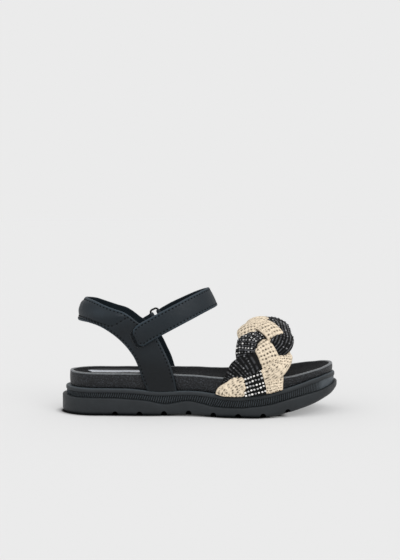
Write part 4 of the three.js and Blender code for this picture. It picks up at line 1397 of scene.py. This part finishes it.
def make_strap_ring():
    long_reach = (RING_LENGTH - WIRE) / 2 - RING_CORNER
    short_reach = BAR_REACH - RING_CORNER
    square = np.cross(STRAP_ALONG, STRAP_ACROSS)
    points = []
    around = np.linspace(0, 2 * np.pi, 16, endpoint=False)
    loops = 0
    for corner in range(4):
        for angle in math.pi / 2 * (corner + np.linspace(0, 1, 9)):
            out = math.cos(angle) * STRAP_ALONG + math.sin(angle) * STRAP_ACROSS
            middle = (
                RING_MIDDLE
                + STRAP_ALONG * (short_reach if corner in (0, 3) else -short_reach)
                + STRAP_ACROSS * (long_reach if corner < 2 else -long_reach)
                + out * RING_CORNER
            )
            points += [middle + WIRE / 2 * (math.cos(t) * out - math.sin(t) * square) for t in around]
            loops += 1
    faces = wheel_faces(loops, len(around))
    piece = mesh_piece("strap_ring_wire", np.array(points), faces, [finish_of("enamel")], crease=80)
    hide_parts("strap_ring")


# Braid
BRAID_MIDDLE = place_of(BRAID["place"][0])
BRAID_SEAT = float(rand_height(BRAID_MIDDLE)) + CLEARANCE
BRAID_STAND = CLEARANCE + BRAID_BACKING
BRAID_REACH = float(wall_reach(OUTER, BRAID_MIDDLE)) + BRAID_STAND
ARCH_ANGLES = np.linspace(0, np.pi, 801)


def arch_reach(angle):
    return np.abs(np.cos(angle)) ** (2 / ARCH_POWER)


def arch_rise(angle):
    return np.maximum(0, np.sin(angle)) ** (2 / ARCH_POWER)


def arch_runs():
    side = np.where(ARCH_ANGLES < np.pi / 2, OUTER, INNER)
    reach, rise = arch_reach(ARCH_ANGLES) * BRAID_REACH, arch_rise(ARCH_ANGLES) * BRAID_HEIGHT
    points = np.stack([side * reach, rise], -1)
    return np.concatenate([[0], np.cumsum(np.linalg.norm(np.diff(points, axis=0), axis=1))])


ARCH_RUNS = arch_runs()
ARCH_LENGTH = ARCH_RUNS[-1]


def braid_place(length):
    return place_of(along(BRAID, "place", np.clip(length / ARCH_LENGTH, 0, 1)))


def braid_surface(length, across):
    """The middle surface of the braid at a length along its arch and a distance across it."""
    share = np.clip(length / ARCH_LENGTH, 0, 1)
    angle = np.interp(share * ARCH_LENGTH, ARCH_RUNS, ARCH_ANGLES)
    side = np.where(share < 0.5, OUTER, INNER)
    x = braid_place(length) + across
    reach = (wall_reach(side, x) + BRAID_STAND) * arch_reach(angle)
    height = mix(rand_height(x) + CLEARANCE, BRAID_SEAT + BRAID_HEIGHT, arch_rise(angle))
    drop = BRAID_CROWN * (across / (BRAID_SWING + RIBBON_WIDTH / 2)) ** 2 * np.sin(angle) ** 2
    return np.stack([x, side * (reach - drop * np.abs(np.cos(angle))), height - drop * np.sin(angle)], -1)


def braid_normal(length, across, step=0.4):
    length = np.clip(length, step, ARCH_LENGTH - step)
    run = braid_surface(length + step, across) - braid_surface(length - step, across)
    aside = braid_surface(length, across + step) - braid_surface(length, across - step)
    return unit(np.cross(aside, run))


# Where each ribbon runs on the outer side, at lengths up the braid: its place across the braid,
# half its width and how far it is lifted out of the weave
SEEN = {
    BLACK_REAR: table(
        "at across half lift",
        (0, 5.0, 8.4, 0.8),
        (8, 2.0, 8.2, 1.0),
        (14, -1.6, 8.2, 0.7),
        (21, -6.5, 8.2, -1.0),
        (28, -11.4, 8.0, -0.6),
        (34, -13.4, 7.9, 0.4),
        (42, -13.0, 7.7, 1.0),
        (48, -9.6, 7.8, 0.2),
        (54, -3.0, 8.2, -1.0),
        (61, 5.0, 8.4, -0.8),
        (68, 8.8, 8.6, 0.2),
        (80, 9.5, 9.0, 0.6),
    ),
    NATURAL_FRONT: table(
        "at across half lift",
        (0, 17.6, 8.2, -0.5),
        (8, 16.6, 8.2, -0.8),
        (16, 12.6, 8.0, -1.0),
        (22, 8.6, 7.6, 0.0),
        (27, 5.4, 7.4, 0.9),
        (32, 1.9, 7.2, 1.0),
        (37, -1.6, 7.0, 0.5),
        (42, -6.0, 7.4, -0.9),
        (48, -10.6, 7.9, -1.0),
        (54, -12.8, 8.4, 0.1),
        (61, -12.0, 8.8, 0.9),
        (68, -10.4, 9.0, 1.0),
        (80, -6.0, 9.0, 0.8),
    ),
    NATURAL_REAR: table(
        "at across half lift",
        (0, -16.0, 9.3, 0.6),
        (5, -12.2, 7.9, 0.6),
        (9, -6.7, 8.2, 0.5),
        (13, 4.0, 8.2, -1.0),
        (16.5, 12.4, 8.4, 0.2),
        (21, 15.6, 8.6, 1.0),
        (26, 15.2, 8.6, 0.4),
        (31, 13.6, 8.2, -0.8),
        (38, 11.2, 7.8, -1.0),
        (43, 8.8, 7.4, -0.2),
        (48, 5.6, 7.2, 0.9),
        (53, 2.0, 7.4, 1.0),
        (61, -2.4, 8.2, 0.6),
        (68, -5.2, 8.8, 0.0),
        (80, -8.6, 9.0, -0.6),
    ),
    BLACK_FRONT: table(
        "at across half lift",
        (0, -14.4, 8.0, -0.9),
        (8, -13.6, 8.6, -1.0),
        (14, -13.0, 9.2, -0.2),
        (20, -10.6, 9.0, 1.0),
        (25, -4.4, 8.4, 0.6),
        (29, 3.0, 8.0, -1.0),
        (33, 9.2, 8.4, 0.2),
        (37, 11.8, 8.6, 1.0),
        (44, 12.6, 8.2, 0.7),
        (54, 11.6, 8.0, 0.1),
        (61, 10.8, 8.2, 0.4),
        (68, 9.2, 8.6, 0.7),
        (80, 5.0, 9.0, 0.9),
    ),
}
# Between these lengths each ribbon passes into the even weave of the far side
SEEN_FROM, SEEN_TO = 60, 78
FAR_HALF = 8.6
FAR_SHIFT = 2.0
FAR_SWING = 0.85
SHADE_WALL_MARGIN = 3
SHADE_WALL_INSET = 1.2
SHADE_WALL_THICKNESS = 0.7
BEADS_ACROSS = 7
BEADS_REACH = 0.84
BEAD_LIFT = 0.05


def ribbon_path(number, length):
    """The place across, half the width and the lift of a ribbon at a length along the braid."""
    share = np.clip(length / ARCH_LENGTH, 0, 1)
    swing = BRAID_SWING * along(BRAID, "swing", share)
    angle = 2 * np.pi * ((length - BRAID_PHASE) / BRAID_PERIOD + (1 - number) / 4)
    over = np.cos(4 * angle) * np.clip(WEAVE_HOLD * np.sin(angle), -1, 1)
    far, seen = smooth(SEEN_FROM, SEEN_TO, length), SEEN[number]
    across = mix(along(seen, "across", length), FAR_SHIFT + FAR_SWING * swing * np.cos(angle), far)
    half = mix(along(seen, "half", length), FAR_HALF, far)
    lift = mix(along(seen, "lift", length), over, far)
    return across, half, WEAVE_HEIGHT * along(BRAID, "relief", share) * lift


def ribbon_spot(number, length, share):
    """Where a point lies at a share of a ribbon's half width: its length, its place across and its lift."""
    across, half, lift = ribbon_path(number, length)
    drift = braid_place(length + 0.5) - braid_place(length - 0.5)
    slope = ribbon_path(number, length + 0.5)[0] - ribbon_path(number, length - 0.5)[0] + drift
    aside = share * half / np.hypot(1, slope)
    return length - aside * slope, across + aside * (1 + drift * slope), lift


def braid_room(side, base, spare=0.0):
    """How far the braid may sink below its middle surface before it meets the footbed."""
    room = np.abs(base[..., 1]) - wall_reach(side, base[..., 0]) - CLEARANCE - spare
    leave = rim_height(base[..., 0]) + WALL_RISE
    return mix(room, RIBBON_WIDTH, smooth(leave, leave + BRAID_FREE, base[..., 2]))


def on_rand(points):
    """Points lifted to the rand's top where they would lie under it."""
    points[..., 2] = np.maximum(points[..., 2], rand_height(points[..., 0]) + CLEARANCE)
    return points


def ribbon_point(number, length, share, offset):
    """A point off a ribbon's middle surface, kept clear of the footbed, with its normal."""
    there, across, lift = ribbon_spot(number, length, share)
    base, normal = braid_surface(there, across), braid_normal(there, across)
    side = np.where(there < ARCH_LENGTH / 2, OUTER, INNER)
    total = np.maximum(lift + offset, -braid_room(side, base))
    return on_rand(base + normal * total[..., None]), normal


def thickness_at(share):
    """How far a ribbon's face stands off its middle surface."""
    return RIBBON_THICKNESS / 2 * np.sqrt(np.maximum(0, 1 - np.abs(share) ** RIBBON_POWER))


def covered(number, length, share):
    """True where another ribbon lies over a point of this one."""
    there, across, lift = ribbon_spot(number, length, share)
    face = lift + thickness_at(share)
    steps = np.arange(-4, ARCH_LENGTH + 4, 0.5)
    hidden = np.zeros(np.shape(there), bool)
    for other in range(4):
        if other == number:
            continue
        middle, half, height = ribbon_path(other, steps)
        far = np.hypot(there[..., None] - steps, across[..., None] - middle)
        near = far.argmin(axis=-1)
        off = far.min(axis=-1) / half[near]
        hidden |= (off < 0.96) & (height[near] + thickness_at(off) > face - 0.1)
    return hidden


def holes(length, aside, rows, pitch, radius, jitter, staggered, seed):
    """A grid of holes of uneven depth, 0 to 1, with the distances from their rows and columns."""
    chance = np.random.default_rng(seed)
    many, wide = 127, 31
    row_jog, shift = chance.uniform(-jitter, jitter, (2, many))
    jog, slip = chance.uniform(-jitter, jitter, (2, many, wide))
    deep = chance.uniform(0.35, 1.0, (many, wide))
    row = np.round(length / rows).astype(int)
    i = row % many
    across = aside / pitch + 0.5 * (row % 2) * staggered + shift[i]
    column = np.round(across).astype(int)
    j = column % wide
    from_row = length / rows - row + 0.5 * row_jog[i]
    from_column = across - column
    far = np.hypot((from_row + jog[i, j]) * rows, (from_column + slip[i, j]) * pitch)
    return np.exp(-((far / radius) ** 2)) * deep[i, j], from_row, from_column


# Up to which length the natural ribbons are worked loosely, with small holes in no order
LOOSE = {NATURAL_FRONT: 20, NATURAL_REAR: 34}


def crochet(number, length, aside, share):
    """Relief of the natural ribbons and how dark each point is: painted shade in the holes and between the
    rows.
    """
    rows, pitch = sizes().hole_rows / MM, sizes().hole_pitch / MM
    even, row, column = holes(length, aside, rows, pitch, 0.62, 0.1, False, number)
    tight = (0.7 * rows, 0.74 * pitch, 0.42, 0.28, True)
    fine, fine_row, fine_column = holes(length, aside, *tight, number + 10)
    loose = 1 - smooth(LOOSE[number] - 2, LOOSE[number] + 2, length)
    hole = mix(even, fine, loose) * (1 - smooth(0.82, 0.92, np.abs(share)))
    row = np.where(loose > 0.5, fine_row, row)
    column = np.where(loose > 0.5, fine_column, column)
    puff = np.abs(np.sin(np.pi * row)) ** 0.6 * (0.5 + 0.5 * np.abs(np.sin(np.pi * column)) ** 0.7)
    strand = 0.09 * np.cos(2 * np.pi * (2 * row + 1.3 * np.abs(column)))
    # gap darkens the points between the rows of holes, a painted shade
    gap = 0.2 * np.exp(-((row * rows / 0.3) ** 2))
    return 0.4 * puff + strand - 0.9 * hole - 0.2, np.clip(1.6 * hole + gap, 0, 1)


def ribbed_straw(number, length, aside):
    """Relief of the black ribbons and how bright each point is: a painted highlight on the ridge tops.
    The front one has finer ridges in its fan, and ridges along it where it has turned over."""
    rows = sizes().bead_rows / MM
    uneven = np.random.default_rng(number + 40).uniform(0.25, 1.0, (127, 41))
    fan = (1 - smooth(24, 30, length)) * (number == BLACK_FRONT)
    turned = smooth(29, 33, length) * (1 - smooth(70, 78, length)) * (number == BLACK_FRONT)
    wide, fine = np.cos(2 * np.pi * length / rows), np.cos(4 * np.pi * length / rows)
    across = mix(wide, fine, fan)
    lengthwise = np.cos(2 * np.pi * aside / 2.3)
    ridge = 0.5 + 0.5 * mix(across, lengthwise, turned)
    cell = 1.1
    k, m = np.round(2 * length / rows).astype(int), np.round(aside / cell).astype(int)
    bright = np.where(turned > 0.5, uneven[m % 127, k % 41], uneven[k % 127, m % 41])
    twist = 0.07 * np.cos(2 * np.pi * mix(aside / cell, length / 1.3, turned))
    # The rear ribbon's low part gets little of the painted highlight
    dull = 1 - 0.85 * (1 - smooth(20, 28, length)) * (number == BLACK_REAR)
    return 0.55 * ridge**0.8 + twist * ridge - 0.42, ridge**2.5 * bright * dull


def make_ribbon(number, name):
    """One ribbon of the braid, with its relief on the outer face and a plain back."""
    natural = number in LOOSE
    length = np.arange(-5, ARCH_LENGTH + 5.2, 0.4)
    flat = 0.86
    edge = np.sin(np.linspace(math.asin(flat), math.pi / 2, 8))[1:]
    top = np.concatenate([-edge[::-1], np.linspace(-flat, flat, 46), edge])
    under = np.linspace(1, -1, 18)[1:-1]
    share = np.concatenate([top, under])
    face = np.concatenate([0 * top + 1, 0 * under - 1])
    l, w = np.meshgrid(length, share, indexing="ij")
    half = ribbon_path(number, l)[1]
    if natural:
        detail, shade = crochet(number, l, w * half, w)
    else:
        detail, shade = ribbed_straw(number, l, w * half)
    fade = np.clip((1 - np.abs(w)) * 7, 0, 1) * (face > 0)
    offset = face * thickness_at(w) + detail * fade
    points, _ = ribbon_point(number, l, w, offset)
    # The natural ribbons darken towards their edges: painted shade in the gaps between the strands
    seam = EDGE_SHADE * smooth(0.93, 0.99, np.abs(w)) if natural else 0
    shade = np.clip(shade * fade + seam, 0, 1)
    faces = [f[::-1] for f in grid_faces(len(length), len(share), closed=True)]
    finish = finish_of("raffia" if natural else "straw")
    piece = mesh_piece(name, points.reshape(-1, 3), faces, [finish], shade=shade, crease=80)
    return piece


def make_braid_lining():
    """A plain dark wall inside the braid that closes the gaps between the ribbons: a sheet of painted shade.
    """
    rows = []
    for at in np.arange(0, ARCH_LENGTH + 0.1, 1.0):
        middles = [ribbon_path(number, at)[0] for number in range(4)]
        low, high = min(middles) - SHADE_WALL_MARGIN, max(middles) + SHADE_WALL_MARGIN
        place = mix(low, high, (np.linspace(-1, 1, 13) + 1) / 2)
        base, normal = braid_surface(at + 0 * place, place), braid_normal(at + 0 * place, place)
        side = OUTER if at < ARCH_LENGTH / 2 else INNER
        inset = np.minimum(SHADE_WALL_INSET, braid_room(side, base, spare=0.4))
        rows.append(on_rand(base - normal * inset[:, None]))
    dark = finish_of("lining")
    piece = Band(rows).solid("braid_shade_wall", SHADE_WALL_THICKNESS, [dark, dark], steps=20)
    return piece


def rounded_block():
    """A small block with round edges, from -1 to 1, as points and faces."""
    turns = np.linspace(-np.pi / 2, np.pi / 2, 5)
    around = np.linspace(0, 2 * np.pi, 12, endpoint=False)
    points = []
    for turn in turns:
        for angle in around:
            c = squared(math.cos(turn))
            u, v = c * squared(math.cos(angle)), c * squared(math.sin(angle))
            points.append((u, v, squared(math.sin(turn))))
    return np.array(points), grid_faces(len(turns), len(around), closed=True)


def squared(value):
    return math.copysign(abs(value) ** 0.45, value)


# How bright the beads are along each black ribbon, at millimetres from its outer end: a painted reflection
GLINT = {
    BLACK_REAR: table(
        "at bright",
        (0, 0.95),
        (18, 0.9),
        (24, 0.3),
        (34, 0.4),
        (50, 0.4),
        (60, 0.3),
        (100, 0.3),
        (150, 0.7),
    ),
    BLACK_FRONT: table(
        "at bright",
        (0, 0.0),
        (20, 0.1),
        (28, 0.2),
        (40, 0.1),
        (60, 0.2),
        (100, 0.3),
        (150, 0.7),
    ),
}


def make_beads(number, name, seed):
    """Rows of beads across a black ribbon, left out where another ribbon lies over them."""
    rows, size = sizes().bead_rows / MM, sizes().bead_size / MM
    chance = np.random.default_rng(seed)
    block, block_faces = rounded_block()
    places = np.linspace(-BEADS_REACH, BEADS_REACH, BEADS_ACROSS)
    count = int(ARCH_LENGTH / rows)
    l, w = np.meshgrid((np.arange(count) + 0.5) * rows, places, indexing="ij")
    l, w = l.ravel() + chance.normal(0, 0.12, l.size), w.ravel() + chance.normal(0, 0.015, w.size)
    dim = chance.uniform(-0.5, 0.5, l.size) * 0.9
    turn = chance.normal(0, 0.12, l.size)
    glint = along(GLINT[number], "bright", l)
    grow = chance.uniform(0.85, 1.1, l.size) * mix(0.72, 1.0, glint)
    keep = ~covered(number, l, w)
    spot, normal = ribbon_point(number, l, w, thickness_at(w) + BEAD_LIFT)
    ahead, _ = ribbon_point(number, l + 0.5, w, thickness_at(w) + BEAD_LIFT)
    points, faces, shade = [], [], []
    for k in np.flatnonzero(keep):
        run = unit(ahead[k] - spot[k])
        side = unit(np.cross(normal[k], run))
        run = np.cross(side, normal[k])
        c, s = math.cos(turn[k]), math.sin(turn[k])
        u, v = c * run + s * side, c * side - s * run
        first = len(points)
        scaled = block * np.array([size * 0.47, size * 0.55, size * 0.32]) * grow[k]
        points += list(spot[k] + scaled[:, :1] * u + scaled[:, 1:2] * v + scaled[:, 2:] * normal[k])
        faces += [[first + i for i in f] for f in block_faces]
        bright = float(glint[k]) + dim[k]
        shade += [min(max(bright, 0.0), 1.0)] * len(block)
    piece = mesh_piece(name, np.array(points), faces, [finish_of("bead")], shade=shade, crease=80)
    return piece


# Stage: rings of the floor outside the outline in millimetres, then as multiples of the last ring
FLOOR_RINGS = (-12, -3, -1, 0, 1, 2, 4, 6, 9, 12, 16)
FLOOR_REACH = (20, 60, 300)
# The painted contact shadow on the floor: its width, how far the sole's lift narrows it, its darkest and its
# full share of the floor's colour, where on its ramp it turns pale, and the glow beyond it
FLOOR_SHADOW = 7.0
FLOOR_LIFT = 4
FLOOR_DARK = 0.03
FLOOR_PALE = 0.563
FLOOR_EDGE = 0.12
FLOOR_GLOW = 0.37
LIGHTS = (
    ("key_light", 1.1, 40, (50, 0, 38)),
    ("fill_light", 0.35, 60, (55, 0, -50)),
)
EYE = (0, -1.0, 0.160)
EYE_TILT = 86.7
LENS, FILM_WIDTH = 82.14, 36


def pale_floor():
    """Matt floor that glows a little away from the sole; near and under the sole the glow fades and the
    colour darkens, a painted contact shadow.
    """
    pale = tuple(colours().floor)
    material = bpy.data.materials.new("pale_floor")
    material.use_nodes = True
    nodes, links = material.node_tree.nodes, material.node_tree.links
    nodes.clear()
    matt, glow = nodes.new("ShaderNodeBsdfDiffuse"), nodes.new("ShaderNodeEmission")
    both, out = nodes.new("ShaderNodeAddShader"), nodes.new("ShaderNodeOutputMaterial")
    tint = nodes.new("ShaderNodeValToRGB")
    tint.color_ramp.elements[1].position = FLOOR_EDGE
    tint.color_ramp.elements[0].color = darker(pale, FLOOR_DARK)
    tint.color_ramp.elements[1].color = darker(pale, FLOOR_PALE)
    glow.inputs["Color"].default_value = pale
    shade, strength = nodes.new("ShaderNodeAttribute"), nodes.new("ShaderNodeMath")
    shade.attribute_name = "shade"
    strength.operation = "MULTIPLY"
    strength.inputs[1].default_value = FLOOR_GLOW
    for source, target in (
        (shade.outputs["Fac"], strength.inputs[0]),
        (shade.outputs["Fac"], tint.inputs["Fac"]),
        (tint.outputs["Color"], matt.inputs["Color"]),
        (strength.outputs[0], glow.inputs["Strength"]),
        (matt.outputs[0], both.inputs[0]),
        (glow.outputs[0], both.inputs[1]),
        (both.outputs[0], out.inputs["Surface"]),
    ):
        links.new(source, target)
    return material


def make_floor(scene):
    run = SOLE.runs(90)
    rings = [ring(run, level(-out), level(0)) for out in FLOOR_RINGS]
    rings += [rings[-1] * times for times in FLOOR_REACH]
    mesh = bpy.data.meshes.new("studio_floor")
    faces = grid_faces(len(rings), len(run), closed=True) + lid_faces(len(run), 0, True)
    mesh.from_pydata((np.vstack(rings) * MM).tolist(), [], faces)
    # The shade rises from 0 under the sole to 1 away from it and drives the painted contact shadow
    layer = mesh.attributes.new("shade", "FLOAT", "POINT")
    lifted = np.tile(bottom_height(SOLE.at(run)[0][:, 0]), len(rings))
    away = np.repeat(FLOOR_RINGS + FLOOR_REACH, len(run)) + FLOOR_LIFT * lifted
    layer.data.foreach_set("value", smooth(0, FLOOR_SHADOW, away).astype(np.float32))
    mesh.materials.append(pale_floor())
    floor = bpy.data.objects.new("studio_floor", mesh)
    scene.collection.objects.link(floor)


def make_stage():
    scene = bpy.context.scene
    scene.view_settings.view_transform = "Standard"
    make_floor(scene)
    scene.world = bpy.data.worlds.new("studio")
    scene.world.use_nodes = True
    sky = scene.world.node_tree.nodes["Background"]
    sky.inputs["Color"].default_value = tuple(colours().floor)
    sky.inputs["Strength"].default_value = 1.0
    for name, energy, angle, turn in LIGHTS:
        light = bpy.data.lights.new(name, "SUN")
        light.energy, light.angle = energy, math.radians(angle)
        lamp = bpy.data.objects.new(name, light)
        lamp.rotation_euler = [math.radians(t) for t in turn]
        scene.collection.objects.link(lamp)
    camera = bpy.data.cameras.new("camera")
    camera.lens, camera.sensor_width = LENS, FILM_WIDTH
    eye = bpy.data.objects.new("camera", camera)
    eye.location = EYE
    eye.rotation_euler = (math.radians(EYE_TILT), 0, 0)
    scene.collection.objects.link(eye)
    scene.camera = eye


class SANDAL_OT_sole(bpy.types.Operator):
    """Make the outsole, the ribbed rand, the footbed and the insole"""

    bl_idname = "sandal.sole"
    bl_label = "Sole"

    def execute(self, context):
        make_outsole()
        make_rand()
        make_footbed()
        make_insole()
        make_heel_patch()
        return {"FINISHED"}


class SANDAL_OT_quarters(bpy.types.Operator):
    """Make the stitched quarters with the heel strap"""

    bl_idname = "sandal.quarters"
    bl_label = "Quarters"

    def execute(self, context):
        make_quarters()
        return {"FINISHED"}


class SANDAL_OT_fastening(bpy.types.Operator):
    """Make the instep strap, its patch, the wire ring and the ring's loop"""

    bl_idname = "sandal.fastening"
    bl_label = "Fastening"

    def execute(self, context):
        make_instep_strap()
        make_patch()
        make_strap_ring()
        make_ring_loop()
        return {"FINISHED"}


class SANDAL_OT_braid(bpy.types.Operator):
    """Make the four ribbons of the braid, their beads and a dark wall of painted shade behind them"""

    bl_idname = "sandal.braid"
    bl_label = "Braid"

    def execute(self, context):
        first = make_ribbon(BLACK_REAR, "black_ribbon_rear")
        make_ribbon(NATURAL_FRONT, "natural_ribbon_front")
        make_ribbon(NATURAL_REAR, "natural_ribbon_rear")
        make_ribbon(BLACK_FRONT, "black_ribbon_front")
        make_beads(BLACK_REAR, "beads_rear", 5)
        make_beads(BLACK_FRONT, "beads_front", 6)
        make_braid_lining()
        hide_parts("braided_strap")
        return {"FINISHED"}


class SANDAL_OT_stage(bpy.types.Operator):
    """Make the floor, the lights and the camera"""

    bl_idname = "sandal.stage"
    bl_label = "Stage"

    def execute(self, context):
        make_stage()
        return {"FINISHED"}


OPERATORS = (SANDAL_OT_stage, SANDAL_OT_sole, SANDAL_OT_quarters, SANDAL_OT_fastening, SANDAL_OT_braid)


class SANDAL_PT_panel(bpy.types.Panel):
    """Sizes, colours and makers of the sandal"""

    bl_idname = "SANDAL_PT_panel"
    bl_label = "Braided sandal"
    bl_space_type = "VIEW_3D"
    bl_region_type = "UI"
    bl_category = "Sandal"

    def draw(self, context):
        for group in (context.scene.sandal_sizes, context.scene.sandal_colours):
            for key in group.__annotations__:
                self.layout.prop(group, key)
        for operator in OPERATORS:
            self.layout.operator(operator.bl_idname)


CLASSES = (SandalSizes, SandalColours, *OPERATORS, SANDAL_PT_panel)


def register():
    for cls in CLASSES:
        bpy.utils.register_class(cls)
    bpy.types.Scene.sandal_sizes = bpy.props.PointerProperty(type=SandalSizes)
    bpy.types.Scene.sandal_colours = bpy.props.PointerProperty(type=SandalColours)


def unregister():
    del bpy.types.Scene.sandal_sizes
    del bpy.types.Scene.sandal_colours
    for cls in reversed(CLASSES):
        bpy.utils.unregister_class(cls)


def main():
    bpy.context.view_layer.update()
    register()
    bpy.ops.sandal.stage()
    bpy.ops.sandal.sole()
    bpy.ops.sandal.quarters()
    bpy.ops.sandal.fastening()
    bpy.ops.sandal.braid()


if __name__ == "__main__":
    main()
